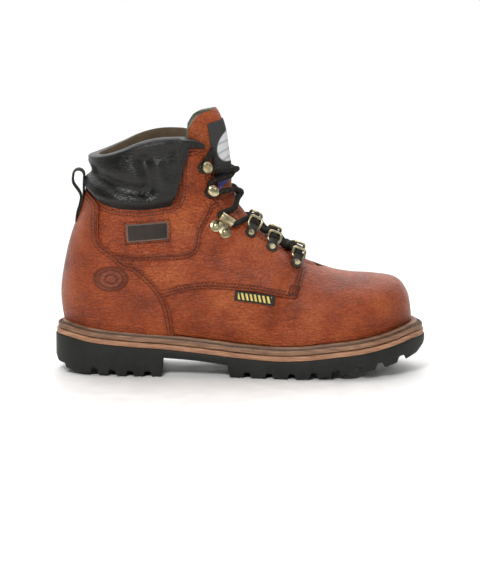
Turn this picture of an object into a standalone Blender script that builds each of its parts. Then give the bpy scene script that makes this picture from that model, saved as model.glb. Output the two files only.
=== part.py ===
"""A metatarsal guard work boot for the right foot, at real size in metres.

The boot's own frame has x forward from the back of the sole, y towards the inner
side of the foot and z up from the floor. Every piece hangs from one empty, which
puts the middle of the boot's plan over the world's origin.

The upper, its overlays, the collar and the tongue all come from one function,
last_point, a fan of sections from the toe round the heel to the top of the shaft.
"""

import math
from collections import namedtuple

import bmesh
import bpy
import numpy as np
from mathutils import Matrix, Vector

# Sole and last
SOLE_LENGTH = 0.314
BALL_WIDTH = 0.098
HEEL_HEIGHT = 0.044
SHAFT_RISE = 0.158
HEEL_MARGIN = 0.0105
TOE_MARGIN = 0.0117
SIDE_MARGIN = 0.0065
HEEL_ROUND = 0.12
TOE_ROUND = 0.20
CLEARANCE = 0.0003
OVERLAY_GAP = 0.0006
SEAM_GAP = 0.00035

# Thicknesses
WALL = 0.0020
OVERLAY = 0.0014
COUNTER_OVERLAY = 0.0022
COUNTER_HEM = 0.0022
PATCH_OVERLAY = 0.0011
TAG_THICKNESS = 0.0008
TAG_DROP = 0.0011
TONGUE_THICKNESS = 0.0040
TONGUE_UNDER = 0.0035
TONGUE_UNDER_COLLAR = 0.0034
TONGUE_HIDDEN = 0.10
TONGUE_DIP = 0.0042
WELT_HEIGHT = 0.0066
WELT_RIB = 0.0022
MIDSOLE_HEIGHT = 0.0042
INSOLE_ABOVE_FEATHER = 0.0022
COLLAR_PAD = 0.0050
COLLAR_FRONT_ROW = 21.5
COLLAR_SHORT = 0.012
COLLAR_DEPTH = 0.057
COLLAR_LINING_DEPTH = 0.018
COLLAR_SEAT = 0.0008
COLLAR_SKIN = 0.0012
COLLAR_LINING_PAD = 0.0034
COLLAR_INSIDE = 0.0030
COUNTER_GAP = 0.00084
RIM_DROP = 0.0035

# Tread
LUG_DEPTH = 0.0045
LUG_DRAFT = 0.0008
GROOVE_WIDTH = 0.0058
HEEL_LUG_PITCH = 0.0150
BALL_LUG_PITCH = 0.0186
SPINE_SHARE = 0.40
BREAST_X = 0.0905
ARCH_END_X = 0.1470

# Fittings
WIRE_RADIUS = 0.0012
RING_WIDTH = 0.0105
RING_HEIGHT = 0.0088
RING_TILT = 38
WASHER_SHARE = 1.60
RIVET_RADIUS = 0.0027
RIVET_HEIGHT = 0.0014
PLATE = 0.0009
HOOK_WIDTH = 0.0076
HOOK_REACH = 0.0090
HOOK_RISE = 0.0062
LOCK_WIDTH = 0.0185
LOCK_SHIFT = 0.0090
LOCK_LINE = [
    (-0.0150, 0.0),
    (-0.0020, 0.0),
    (0.0010, 0.0006),
    (0.0032, 0.0026),
    (0.0036, 0.0052),
    (0.0014, 0.0072),
    (-0.0016, 0.0068),
    (-0.0026, 0.0044),
    (-0.0016, 0.0026),
]
SADDLE_LIFT = 0.0008
LACE_RADIUS = 0.0023
LACE_PITCH = LACE_RADIUS + 2 * CLEARANCE
LACE_SIDES = 5
LACE_REACH = 0.53
LACE_DIP = 0.0045
LOOP_WIDTH = 0.0140
LOOP_THICKNESS = 0.0020
LOOP_GAP = 0.0096
LOOP_FOOT_Z = 0.127
LOOP_SPLIT_Z = 0.149
LOOP_TOP_Z = 0.173
LOOP_LEAN = 0.0035

LAST_BACK = HEEL_MARGIN
LAST_LENGTH = SOLE_LENGTH - HEEL_MARGIN - TOE_MARGIN
COLUMNS = 12
SPLIT = 0.40
BULGE = 1.03
THROAT_ROW = 6.0
HEEL_ROW = 16
TOE_ROWS = [0.0, 0.4, 1.0, 1.6, 2.3, 3.0, 4.0, 5.0, 6.0, 6.6]
TONGUE_ROWS = [6.2, 6.8, 7.5, 8.5, 9.7, 11.2, 13.0, 15.0, 17.0, 19.0, 21.0, 22.7, 24.0]
SHARE_ROUNDS = 3

Margin = namedtuple("Margin", "heel toe side")
NO_MARGIN = Margin(0.0, 0.0, 0.0)
WELT_OUT = Margin(HEEL_MARGIN - 0.0020, TOE_MARGIN - 0.0020, SIDE_MARGIN - 0.0005)
WELT_IN = Margin(-WALL - 0.0006, -WALL - 0.0006, -WALL - 0.0006)
MIDSOLE_OUT = Margin(HEEL_MARGIN - 0.0010, TOE_MARGIN - 0.0010, SIDE_MARGIN + 0.0005)
OUTSOLE_OUT = Margin(HEEL_MARGIN, TOE_MARGIN, SIDE_MARGIN + 0.0010)
INSOLE_OUT = Margin(-WALL - 0.0016, -WALL - 0.0016, -WALL - 0.0014)

# Half widths of the last at the feather line, as shares of the ball width, by the
# share of the last's length from the heel
Planform = namedtuple("Planform", "at lateral medial")
PLANFORM = [
    Planform(0.00, 0.260, 0.260),
    Planform(0.12, 0.301, 0.301),
    Planform(0.20, 0.332, 0.327),
    Planform(0.30, 0.337, 0.318),
    Planform(0.42, 0.362, 0.314),
    Planform(0.52, 0.408, 0.347),
    Planform(0.62, 0.464, 0.418),
    Planform(0.70, 0.500, 0.480),
    Planform(0.78, 0.500, 0.505),
    Planform(0.86, 0.478, 0.505),
    Planform(1.00, 0.400, 0.500),
]

# Height of the feather line as a share of the heel height
Feather = namedtuple("Feather", "at rise")
FEATHER = [
    Feather(0.00, 1.000),
    Feather(0.08, 0.915),
    Feather(0.17, 0.862),
    Feather(0.27, 0.815),
    Feather(0.38, 0.745),
    Feather(0.50, 0.662),
    Feather(0.60, 0.625),
    Feather(0.68, 0.645),
    Feather(0.76, 0.705),
    Feather(0.84, 0.765),
    Feather(0.91, 0.840),
    Feather(0.97, 0.925),
    Feather(1.00, 0.975),
]

# Sections of the last, from the toe tip along the feather line, then up the heel.
# foot and front are shares of the last's length from the heel, the heights shares of
# the shaft's rise above the heel's feather line, the half widths shares of the ball
# width (0 follows the feather line), waist the share of the section's height at which
# it is widest, crown the roundness over the top.
Section = namedtuple("Section", "foot rise front crest lateral medial waist crown")
SECTIONS = [
    Section(1.000, 0.000, 1.001, -0.004, 0.000, 0.000, 0.30, 2.4),
    Section(0.985, 0.000, 0.998, 0.057, 0.000, 0.000, 0.30, 2.4),
    Section(0.955, 0.000, 0.988, 0.146, 0.000, 0.000, 0.30, 2.4),
    Section(0.915, 0.000, 0.956, 0.214, 0.000, 0.000, 0.30, 2.4),
    Section(0.860, 0.000, 0.893, 0.236, 0.000, 0.000, 0.30, 2.3),
    Section(0.790, 0.000, 0.817, 0.247, 0.000, 0.000, 0.29, 2.2),
    Section(0.720, 0.000, 0.749, 0.278, 0.000, 0.000, 0.28, 2.1),
    Section(0.650, 0.000, 0.687, 0.326, 0.000, 0.000, 0.28, 2.0),
    Section(0.575, 0.000, 0.636, 0.392, 0.440, 0.400, 0.29, 1.95),
    Section(0.495, 0.000, 0.584, 0.465, 0.418, 0.382, 0.30, 1.9),
    Section(0.410, 0.000, 0.542, 0.532, 0.398, 0.370, 0.30, 1.9),
    Section(0.320, 0.000, 0.509, 0.595, 0.385, 0.362, 0.30, 1.9),
    Section(0.230, 0.000, 0.492, 0.655, 0.378, 0.360, 0.30, 1.9),
    Section(0.145, 0.000, 0.482, 0.712, 0.374, 0.360, 0.29, 1.9),
    Section(0.065, 0.000, 0.478, 0.766, 0.370, 0.360, 0.28, 1.9),
    Section(0.012, 0.000, 0.475, 0.810, 0.366, 0.360, 0.28, 1.9),
    Section(0.000, 0.000, 0.473, 0.842, 0.365, 0.360, 0.28, 1.9),
    Section(-0.009, 0.146, 0.470, 0.873, 0.365, 0.361, 0.29, 1.9),
    Section(0.002, 0.304, 0.468, 0.908, 0.365, 0.362, 0.31, 1.95),
    Section(0.023, 0.462, 0.465, 0.943, 0.366, 0.364, 0.33, 2.0),
    Section(0.054, 0.614, 0.462, 0.981, 0.367, 0.367, 0.36, 2.0),
    Section(0.070, 0.753, 0.458, 1.025, 0.371, 0.371, 0.40, 2.0),
    Section(0.083, 0.861, 0.451, 1.070, 0.376, 0.376, 0.43, 2.1),
    Section(0.090, 0.956, 0.439, 1.120, 0.380, 0.380, 0.45, 2.1),
    Section(0.096, 1.050, 0.416, 1.177, 0.384, 0.384, 0.46, 2.1),
]

# The collar's rim seen from the side
Rim = namedtuple("Rim", "at height")
RIM = [
    Rim(0.060, 0.880),
    Rim(0.110, 0.897),
    Rim(0.160, 0.930),
    Rim(0.210, 0.970),
    Rim(0.260, 0.993),
    Rim(0.310, 0.999),
    Rim(0.350, 0.994),
    Rim(0.380, 0.975),
    Rim(0.410, 0.942),
    Rim(0.440, 0.925),
]

# The lower edge of the collar's black leather, which leaves a narrow band in front
COLLAR_EDGE = [
    Rim(0.055, 0.735),
    Rim(0.074, 0.696),
    Rim(0.099, 0.652),
    Rim(0.128, 0.635),
    Rim(0.160, 0.626),
    Rim(0.212, 0.620),
    Rim(0.265, 0.627),
    Rim(0.300, 0.637),
    Rim(0.318, 0.655),
    Rim(0.325, 0.700),
    Rim(0.330, 0.925),
    Rim(0.348, 0.943),
    Rim(0.370, 0.935),
    Rim(0.410, 0.915),
]

# The collar's two soft rolls, from its lower edge up: share of its depth, and how far
# it stands off, as a share of the padding
Bead = namedtuple("Bead", "down lift")
PAD = [
    Bead(1.00, 0.32),
    Bead(0.90, 0.72),
    Bead(0.72, 0.84),
    Bead(0.50, 0.52),
    Bead(0.30, 0.92),
    Bead(0.12, 1.00),
    Bead(0.02, 0.68),
]

# The front edge of the facings seen from the side, by height
Facing = namedtuple("Facing", "height at")
FACING = [
    Facing(0.200, 0.870),
    Facing(0.300, 0.705),
    Facing(0.330, 0.664),
    Facing(0.410, 0.600),
    Facing(0.490, 0.540),
    Facing(0.580, 0.484),
    Facing(0.680, 0.436),
    Facing(0.800, 0.416),
    Facing(0.940, 0.407),
    Facing(1.100, 0.400),
]

# Side outlines of the overlays, as shares of the last's length and the shaft's rise
Mark = namedtuple("Mark", "at height")
COUNTER_EDGE = [
    Mark(-0.030, 0.735),
    Mark(0.046, 0.725),
    Mark(0.070, 0.688),
    Mark(0.092, 0.650),
    Mark(0.100, 0.620),
    Mark(0.099, 0.540),
    Mark(0.099, 0.465),
    Mark(0.112, 0.425),
    Mark(0.142, 0.384),
    Mark(0.170, 0.336),
    Mark(0.198, 0.322),
    Mark(0.243, 0.256),
    Mark(0.278, 0.180),
    Mark(0.296, 0.110),
    Mark(0.304, 0.045),
    Mark(0.312, -0.060),
]
ANKLE_SEAM = [
    Mark(0.143, 0.390),
    Mark(0.175, 0.376),
    Mark(0.225, 0.373),
    Mark(0.285, 0.380),
    Mark(0.330, 0.384),
    Mark(0.356, 0.396),
    Mark(0.369, 0.420),
    Mark(0.372, 0.462),
    Mark(0.377, 0.508),
    Mark(0.388, 0.545),
    Mark(0.402, 0.590),
    Mark(0.418, 0.640),
    Mark(0.500, 0.700),
]
VAMP_SEAM = [
    Mark(0.740, 0.420),
    Mark(0.700, 0.340),
    Mark(0.686, 0.275),
    Mark(0.674, 0.208),
    Mark(0.662, 0.156),
    Mark(0.645, 0.150),
    Mark(0.598, 0.171),
    Mark(0.540, 0.187),
    Mark(0.470, 0.197),
    Mark(0.400, 0.203),
    Mark(0.340, 0.190),
    Mark(0.284, 0.160),
]
PATCH = [Mark(0.174, 0.540), Mark(0.293, 0.553), Mark(0.297, 0.456), Mark(0.178, 0.447)]
TAG = [Mark(0.489, 0.189), Mark(0.602, 0.166), Mark(0.598, 0.118), Mark(0.484, 0.140)]

# Fittings on each facing, from the toe up, seen from the side
Fitting = namedtuple("Fitting", "name at height")
RINGS = [
    Fitting("1", 0.6600, 0.308),
    Fitting("2", 0.5900, 0.396),
    Fitting("3", 0.5290, 0.474),
]
LOCK = Fitting("lock", 0.4430, 0.505)
HOOKS = [Fitting("1", 0.4160, 0.700), Fitting("2", 0.3960, 0.838)]

SIDES = {"lateral": -1, "medial": 1}


def column(table, name):
    """One named column of a table."""
    return np.array([getattr(row, name) for row in table], float)


def smooth(knots, values, at):
    """A smooth curve through the values at the knots."""
    slopes = np.gradient(values, knots)
    at = np.clip(at, knots[0], knots[-1])
    i = np.clip(np.searchsorted(knots, at, side="right") - 1, 0, len(knots) - 2)
    step = knots[i + 1] - knots[i]
    t = (at - knots[i]) / step
    start = (2 * t**3 - 3 * t**2 + 1) * values[i] + (t**3 - 2 * t**2 + t) * step * slopes[i]
    end = (3 * t**2 - 2 * t**3) * values[i + 1] + (t**3 - t**2) * step * slopes[i + 1]
    return start + end


def look_up(table, key, name, at):
    """A named column of a table as a smooth curve over another."""
    return smooth(column(table, key), column(table, name), np.asarray(at, float))


def along(share):
    """The x of a share of the last's length."""
    return LAST_BACK + LAST_LENGTH * share


def above(share):
    """The z of a share of the shaft's rise."""
    return HEEL_HEIGHT + SHAFT_RISE * share


def half_width(x, side, margin=NO_MARGIN):
    """Half the width of the last's plan, or of a plan drawn round it with a margin."""
    length = LAST_LENGTH + margin.heel + margin.toe
    at = np.clip((np.asarray(x, float) - LAST_BACK + margin.heel) / length, 0.0, 1.0)
    full = BALL_WIDTH * look_up(PLANFORM, "at", side, at) + margin.side
    heel = np.clip((HEEL_ROUND - at) / HEEL_ROUND, 0.0, 1.0)
    toe = np.clip((at - 1 + TOE_ROUND) / TOE_ROUND, 0.0, 1.0)
    return full * np.sqrt(1 - heel**2) * np.sqrt(1 - toe**2)


def feather_z(x):
    """Height of the feather line, where the upper meets the welt."""
    return HEEL_HEIGHT * look_up(FEATHER, "at", "rise", (np.asarray(x, float) - LAST_BACK) / LAST_LENGTH)


def section_ends(v):
    """Bottom and top points of section v, seen from the side."""
    rows = np.arange(len(SECTIONS), dtype=float)
    low_x = along(smooth(rows, column(SECTIONS, "foot"), v))
    low_z = np.where(v <= HEEL_ROW, feather_z(low_x), above(smooth(rows, column(SECTIONS, "rise"), v)))
    top_x = along(smooth(rows, column(SECTIONS, "front"), v))
    top_z = above(smooth(rows, column(SECTIONS, "crest"), v))
    return low_x, low_z, top_x, top_z


def section_shape(v, side):
    """Half width, start angle, waist and crown of section v."""
    rows = np.arange(len(SECTIONS), dtype=float)
    low_x = section_ends(v)[0]
    low = np.where(v < HEEL_ROW, half_width(low_x, side), 0.0)
    free = np.clip(BALL_WIDTH * smooth(rows, column(SECTIONS, side), v), 0.0, None)
    wide = (free**6 + (BULGE * low) ** 6) ** (1 / 6)
    start = np.arcsin(np.clip(low / np.maximum(wide, 1e-9), 0.0, 1 / BULGE))
    waist = smooth(rows, column(SECTIONS, "waist"), v)
    crown = smooth(rows, column(SECTIONS, "crown"), v)
    return wide, start, waist, crown


def section_point(s, v, side):
    """Reach from bottom to top and half width at the share s round section v."""
    wide, start, waist, crown = section_shape(v, side)
    turn = start + (math.pi / 2 - start) * np.clip(s / SPLIT, 0.0, 1.0)
    angle = math.pi / 2 * np.clip((s - SPLIT) / (1 - SPLIT), 0.0, 1.0)
    low_reach = waist * (np.cos(start) - np.cos(turn)) / np.cos(start)
    reach = low_reach + (1 - waist) * np.sin(angle) ** (2 / crown)
    half = np.where(s < SPLIT, wide * np.sin(turn), wide * np.maximum(np.cos(angle), 0.0) ** (2 / crown))
    return reach, np.where(s >= 1, 0.0, half)


def last_surface(s, v, side):
    """Points of the last's surface, as an array with x, y, z last."""
    low_x, low_z, top_x, top_z = section_ends(v)
    reach, half = section_point(s, v, side)
    x = low_x + reach * (top_x - low_x)
    z = low_z + reach * (top_z - low_z)
    return np.stack([x, SIDES[side] * half + 0 * x, z], axis=-1)


def last_normal(s, v, side):
    """Outward unit normals of the last's surface."""
    step_s, step_v = 0.004, 0.02
    s_in = np.clip(s, 0.012, 0.985)
    v_in = np.clip(v, 0.12, len(SECTIONS) - 1.05)
    round_it = last_surface(s_in + step_s, v_in, side) - last_surface(s_in - step_s, v_in, side)
    up_it = last_surface(s_in, v_in + step_v, side) - last_surface(s_in, v_in - step_v, side)
    normal = np.cross(round_it, up_it)
    low_x, low_z, top_x, top_z = section_ends(v_in)
    inside = np.stack([(low_x + top_x) / 2, 0 * low_x, (low_z + top_z) / 2], axis=-1)
    outward = np.sum(normal * (last_surface(s_in, v_in, side) - inside), axis=-1, keepdims=True)
    normal = normal * np.where(outward < 0, -1.0, 1.0)
    middle = (s >= 1) | ((s <= 0) & (v >= HEEL_ROW)) | (v <= 0)
    normal[..., 1] = np.where(middle, 0.0, normal[..., 1])
    return normal / np.linalg.norm(normal, axis=-1, keepdims=True)


def last_point(s, v, side, lift=0.0):
    """Points of the last moved outward along its normals."""
    s, v = np.broadcast_arrays(np.asarray(s, float), np.asarray(v, float))
    moved = last_surface(s, v, side)
    lift = np.broadcast_to(np.asarray(lift, float), s.shape)[..., None]
    return moved + lift * last_normal(s, v, side)


def share_of_reach(reach, v, side):
    """The share round section v at which it has this reach."""
    wide, start, waist, crown = section_shape(v, side)
    turn = np.arccos(np.clip(np.cos(start) * (1 - reach / waist), -1.0, 1.0))
    low = SPLIT * (turn - start) / (math.pi / 2 - start)
    rest = np.clip((reach - waist) / (1 - waist), 0.0, 1.0)
    high = SPLIT + (1 - SPLIT) * np.arcsin(rest ** (crown / 2)) / (math.pi / 2)
    return np.where(reach < waist, low, high)


def solve(function, low, high, steps=40):
    """Where a rising function crosses zero, by halving."""
    low = np.array(low, float)
    high = np.array(high, float)
    for _ in range(steps):
        middle = (low + high) / 2
        below = function(middle) < 0
        low = np.where(below, middle, low)
        high = np.where(below, high, middle)
    return (low + high) / 2


def locate(x, z, side):
    """The share s and the section v of a point seen from the side."""

    def behind(v):
        low_x, low_z, top_x, top_z = section_ends(v)
        return (top_z - low_z) * (low_x - x) - (top_x - low_x) * (low_z - z)

    v = solve(lambda at: -behind(at), 0.0 * x, 0.0 * x + len(SECTIONS) - 1)
    low_x, low_z, top_x, top_z = section_ends(v)
    long_x, long_z = top_x - low_x, top_z - low_z
    reach = ((x - low_x) * long_x + (z - low_z) * long_z) / (long_x**2 + long_z**2)
    return share_of_reach(np.clip(reach, 0.0, 1.0), v, side), v


def facing_share(v, side):
    """The share round section v at which the facing ends, or 1 below the throat."""
    low_x, low_z, top_x, top_z = section_ends(v)

    def past(reach):
        x = low_x + reach * (top_x - low_x)
        height = (low_z + reach * (top_z - low_z) - HEEL_HEIGHT) / SHAFT_RISE
        return x - along(look_up(FACING, "height", "at", height))

    reach = solve(past, 0.3 + 0 * v, 1.0 + 0 * v)
    cut = (past(1.0 + 0 * v) > 0) & (v > THROAT_ROW)
    return np.where(cut, share_of_reach(reach, v, side), 1.0)


def rim_section(s, side, drop=0.0):
    """The section at which the column s meets the collar's rim, less a drop."""

    def over(v):
        point = last_surface(s, v, side)
        at = (point[..., 0] - LAST_BACK) / LAST_LENGTH
        return point[..., 2] - above(look_up(RIM, "at", "height", at)) + drop

    return solve(over, HEEL_ROW + 1 + 0 * s, len(SECTIONS) - 1 + 0 * s)


def grid_shares(side, drop, first=0.0):
    """The s and v of each vertex of one half of the upper, from its first section up."""
    rows = np.array(TOE_ROWS + [float(v) for v in range(7, len(SECTIONS))])
    rows = rows[rows >= first]
    share = np.linspace(0.0, 1.0, COLUMNS + 1)
    flat_v = np.repeat(rows[:, None], COLUMNS + 1, axis=1)
    s = share[None, :] * facing_share(rows, side)[:, None]
    v = flat_v
    start = HEEL_ROW + 1
    last = len(SECTIONS) - 1
    for _ in range(SHARE_ROUNDS):
        top = rim_section(s, side, drop)
        v = np.where(flat_v > start, start + (flat_v - start) * (top - start) / (last - start), flat_v)
        s = share[None, :] * facing_share(v.ravel(), side).reshape(v.shape)
    return s, v


def material(name, colour, roughness, metallic=0.0):
    """A plain material."""
    made = bpy.data.materials.new(name)
    made.use_nodes = True
    surface = made.node_tree.nodes["Principled BSDF"]
    surface.inputs["Base Color"].default_value = (*colour, 1.0)
    surface.inputs["Roughness"].default_value = roughness
    surface.inputs["Metallic"].default_value = metallic
    return made


def add_object(name, mesh, look, frame):
    """Puts a mesh in the scene under the boot's frame."""
    made = bpy.data.objects.new(name, mesh)
    made.parent = frame
    bpy.context.scene.collection.objects.link(made)
    if look:
        mesh.materials.append(look)
    return made


def mesh_from(shape, name):
    """Turns a bmesh into a mesh with its faces pointing out."""
    bmesh.ops.recalc_face_normals(shape, faces=shape.faces)
    mesh = bpy.data.meshes.new(name)
    shape.to_mesh(mesh)
    shape.free()
    mesh.shade_smooth()
    mesh.set_sharp_from_angle(angle=math.radians(40))
    return mesh


def add_grid(shape, points):
    """Adds a grid of faces on an array of points, and gives its rows of vertices."""
    rows, columns = points.shape[:2]
    bmesh.ops.create_grid(shape, x_segments=columns - 1, y_segments=rows - 1, size=0.5)
    shape.verts.ensure_lookup_table()
    fresh = shape.verts[-rows * columns :]
    for vertex in fresh:
        column_at = round((vertex.co.x + 0.5) * (columns - 1))
        row_at = round((vertex.co.y + 0.5) * (rows - 1))
        vertex[shape.verts.layers.int["row"]] = row_at
        vertex[shape.verts.layers.int["column"]] = column_at
    for vertex in fresh:
        at = (vertex[shape.verts.layers.int["row"]], vertex[shape.verts.layers.int["column"]])
        vertex.co = Vector(points[at])


def sheet_mesh(name, halves):
    """One sheet from several grids, welded where they share points."""
    shape = bmesh.new()
    shape.verts.layers.int.new("row")
    shape.verts.layers.int.new("column")
    for points in halves:
        add_grid(shape, points)
    bmesh.ops.remove_doubles(shape, verts=shape.verts, dist=0.00002)
    bmesh.ops.dissolve_degenerate(shape, edges=shape.edges, dist=0.00002)
    bmesh.ops.triangulate(shape, faces=shape.faces, quad_method="FIXED")
    return mesh_from(shape, name)


def loft(rings, closed_ends=True, closed_loop=False):
    """A bmesh skinned over rings of points, each an array of the same length."""
    shape = bmesh.new()
    made = [[shape.verts.new(Vector(point)) for point in ring] for ring in rings]
    pairs = list(zip(made, made[1:]))
    if closed_loop:
        pairs.append((made[-1], made[0]))
    for first, second in pairs:
        for k in range(len(first)):
            after = (k + 1) % len(first)
            shape.faces.new((first[k], first[after], second[after], second[k]))
    if closed_ends and not closed_loop:
        shape.faces.new(made[0][::-1])
        shape.faces.new(made[-1])
    return shape


def thicken(made, thickness, outward):
    """Gives a sheet a thickness, to one side of it."""
    wall = made.modifiers.new("thickness", "SOLIDIFY")
    wall.thickness = thickness
    wall.offset = 1.0 if outward else -1.0
    return wall


def prism(name, outline, low_y, high_y, frame):
    """A hidden cutter: a side outline, as x and z, drawn out along y."""
    shape = bmesh.new()
    low = [shape.verts.new((x, low_y, z)) for x, z in outline]
    face = shape.faces.new(low)
    drawn = bmesh.ops.extrude_face_region(shape, geom=[face])
    moved = [part for part in drawn["geom"] if isinstance(part, bmesh.types.BMVert)]
    bmesh.ops.translate(shape, verts=moved, vec=(0.0, high_y - low_y, 0.0))
    made = add_object(name, mesh_from(shape, name), None, frame)
    made.hide_render = True
    made.display_type = "WIRE"
    return made


def curve_through(marks, pieces=2):
    """Side points on a smooth curve through a table of marks, as x and z."""
    knots = np.arange(len(marks), dtype=float)
    at = np.linspace(0.0, len(marks) - 1, (len(marks) - 1) * pieces + 1)
    x = along(smooth(knots, column(marks, "at"), at))
    z = above(smooth(knots, column(marks, "height"), at))
    return list(zip(x, z))


def shell(name, sides, lift, thickness, look, frame, first=5.0):
    """A larger form round the last, from which the overlays are cut."""
    halves = []
    for side in sides:
        s, v = grid_shares(side, RIM_DROP, first)
        halves.append(last_point(s, v, side, lift))
    made = add_object(name, sheet_mesh(name, halves), look, frame)
    thicken(made, thickness, True)
    return made


def keep_inside(made, cutter):
    """Keeps only what lies inside the cutter."""
    cut = made.modifiers.new("outline", "BOOLEAN")
    cut.operation = "INTERSECT"
    cut.object = cutter
    cut.solver = "EXACT"


def build_upper(looks, frame):
    """The hollow leather wall, vamp and ankle in one."""
    halves = []
    for side in SIDES:
        s, v = grid_shares(side, RIM_DROP)
        halves.append(last_point(s, v, side))
    made = add_object("upper", sheet_mesh("upper", halves), looks["leather"], frame)
    thicken(made, WALL, False)


def build_overlays(looks, frame):
    """Quarters, heel counter, side patch and side tag."""
    reach = BALL_WIDTH
    counter = curve_through(COUNTER_EDGE)
    gap = SEAM_GAP
    rear = [(x - gap, z - gap / 2) for x, z in counter]
    behind = -HEEL_MARGIN
    floor = np.linspace(along(COUNTER_EDGE[-1].at), behind, 8)
    rear = [point for point in rear if point[1] > float(feather_z(point[0])) + COUNTER_HEM]
    rear += [(x, float(feather_z(x)) + COUNTER_HEM) for x in floor]
    rear += [(behind, above(0.735))]
    cutter = prism("cut_counter", rear, -reach, reach, frame)
    made = shell("heel_counter", SIDES, COUNTER_GAP, COUNTER_OVERLAY, looks["leather"], frame, 9.0)
    keep_inside(made, cutter)
    front = [(x + gap, z + gap / 2) for x, z in counter if above(0.163) < z < above(0.386)]
    ankle = curve_through(ANKLE_SEAM)
    vamp = curve_through(VAMP_SEAM)
    outline = ankle + vamp + front[::-1]
    for side, sign in SIDES.items():
        low, high = sorted((sign * CLEARANCE, sign * reach))
        cutter = prism("cut_quarter_" + side, outline, low, high, frame)
        name = "quarter_" + side
        made = shell(name, [side], OVERLAY_GAP, OVERLAY, looks["leather"], frame)
        keep_inside(made, cutter)
    corners = [(along(mark.at), above(mark.height)) for mark in PATCH]
    cutter = prism("cut_patch", corners, -reach, -BALL_WIDTH / 8, frame)
    keep_inside(shell("side_patch", ["lateral"], OVERLAY_GAP, PATCH_OVERLAY, looks["rubber"], frame), cutter)
    corners = [(along(mark.at), above(mark.height) - TAG_DROP) for mark in TAG]
    cutter = prism("cut_tag", corners, -reach, -BALL_WIDTH / 8, frame)
    keep_inside(shell("side_tag", ["lateral"], OVERLAY_GAP, TAG_THICKNESS, looks["fabric"], frame), cutter)


def build_collar(looks, frame):
    """The padded black roll over the rim, swept from facing to facing round the heel."""
    rings = []
    for side in ("lateral", "medial"):
        edge = facing_share(np.array([COLLAR_FRONT_ROW]), side)[0] - COLLAR_SHORT
        shares = np.linspace(0.0, edge, COLUMNS + 8)
        swept = collar_rings(shares, side)
        rings += list(swept[::-1] if side == "lateral" else swept[1:])
    shape = loft(rings)
    add_object("collar", mesh_from(shape, "collar"), looks["collar"], frame)


def collar_section(s, side, down, drop=0.0):
    """The section where column s is a share of the way down from rim to lower edge."""
    edge_at, edge_height = column(COLLAR_EDGE, "at"), column(COLLAR_EDGE, "height")

    def over(v):
        point = last_surface(s, v, side)
        at = (point[..., 0] - LAST_BACK) / LAST_LENGTH
        rim = look_up(RIM, "at", "height", at)
        edge = np.interp(at, edge_at, edge_height)
        return point[..., 2] - above(rim - down * (rim - edge)) + drop

    return solve(over, HEEL_ROW - 2 + 0 * s, len(SECTIONS) - 1 + 0 * s)


def collar_rings(s, side):
    """Sections of the collar: outer pad, over the rim, lining, and back along the wall."""
    top = last_surface(s, collar_section(s, side, 0.0), side)
    low = last_surface(s, collar_section(s, side, 1.0), side)
    depth = top[:, 2] - low[:, 2]
    slim = np.minimum(1.0, 0.2 + 2.0 * depth / COLLAR_DEPTH)
    near = COLLAR_SEAT
    inner = -COLLAR_INSIDE
    lining = np.minimum(COLLAR_LINING_DEPTH, depth + COLLAR_INSIDE)
    rows = [(bead.down, 0.0, near + COLLAR_PAD * bead.lift * slim) for bead in PAD]
    rows += [(0.0, 0.0, CLEARANCE), (0.0, 0.0, inner - COLLAR_SKIN)]
    rows += [(0.0, lining * 0.35, inner - COLLAR_LINING_PAD * slim), (0.0, lining, inner - COLLAR_SKIN)]
    rows += [(0.0, lining, inner), (0.0, RIM_DROP - CLEARANCE, inner)]
    rows += [(0.0, RIM_DROP - CLEARANCE, near), (0.5, 0.0, near), (1.0, 0.0, near)]
    rings = []
    for down, drop, lift in rows:
        rings.append(last_point(s, collar_section(s, side, down, drop), side, lift))
    return np.stack(rings, axis=1)


def tongue_surface(turn, v, lift):
    """Points of the tongue: turn runs from -1 on the lateral edge to 1 on the medial."""
    points = []
    for side, sign in SIDES.items():
        facing = np.minimum(facing_share(np.clip(v, THROAT_ROW + 1, 22.0), side), 0.93)
        low = facing - TONGUE_HIDDEN
        s = 1 - np.abs(turn) * (1 - low)
        lined = np.clip((v - 17.0) / 3.0, 0.0, 1.0)
        under = -TONGUE_UNDER - TONGUE_UNDER_COLLAR * lined
        clear = np.clip((s - facing - 0.02) / (1 - facing - 0.02), 0.0, 1.0)
        depth = under * (1 - 3 * clear**2 + 2 * clear**3)
        points.append((sign, last_point(s, v, side, depth + lift)))
    lateral, medial = points[0][1], points[1][1]
    return np.where((turn < 0)[..., None], lateral, medial)


def build_tongue(looks, frame):
    """The padded tongue, from under the vamp to over the rim."""
    turn = np.linspace(-1.0, 1.0, 11)
    v = np.repeat(np.array(TONGUE_ROWS)[:, None], len(turn), axis=1)
    t = np.repeat(turn[None, :], len(TONGUE_ROWS), axis=0)
    v = np.where(v > 21.0, 21.0 + (v - 21.0) * (1 - 0.25 * np.abs(t) ** 4), v)
    dip = np.where(v < THROAT_ROW + 1.2, -TONGUE_DIP, 0.0)
    points = tongue_surface(t, v, dip)
    made = add_object("tongue", sheet_mesh("tongue", [points]), looks["leather"], frame)
    thicken(made, TONGUE_THICKNESS, False)
    return made


def plate(name, margin, top, bottom, stops, across, look, frame):
    """A solid over a plan: rings across the boot at each stop along it."""
    rings = []
    for x in stops:
        lateral = float(half_width(x, "lateral", margin))
        medial = float(half_width(x, "medial", margin))
        row = [-lateral + (lateral + medial) * share for share in across]
        ring = [(x, y, top(x)) for y in row]
        ring += [(x, y, bottom(x, share)) for y, share in zip(row[::-1], across[::-1])]
        rings.append(ring)
    shape = loft(rings)
    bmesh.ops.remove_doubles(shape, verts=shape.verts, dist=0.00002)
    bmesh.ops.dissolve_degenerate(shape, edges=shape.edges, dist=0.00002)
    return add_object(name, mesh_from(shape, name), look, frame)


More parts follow.
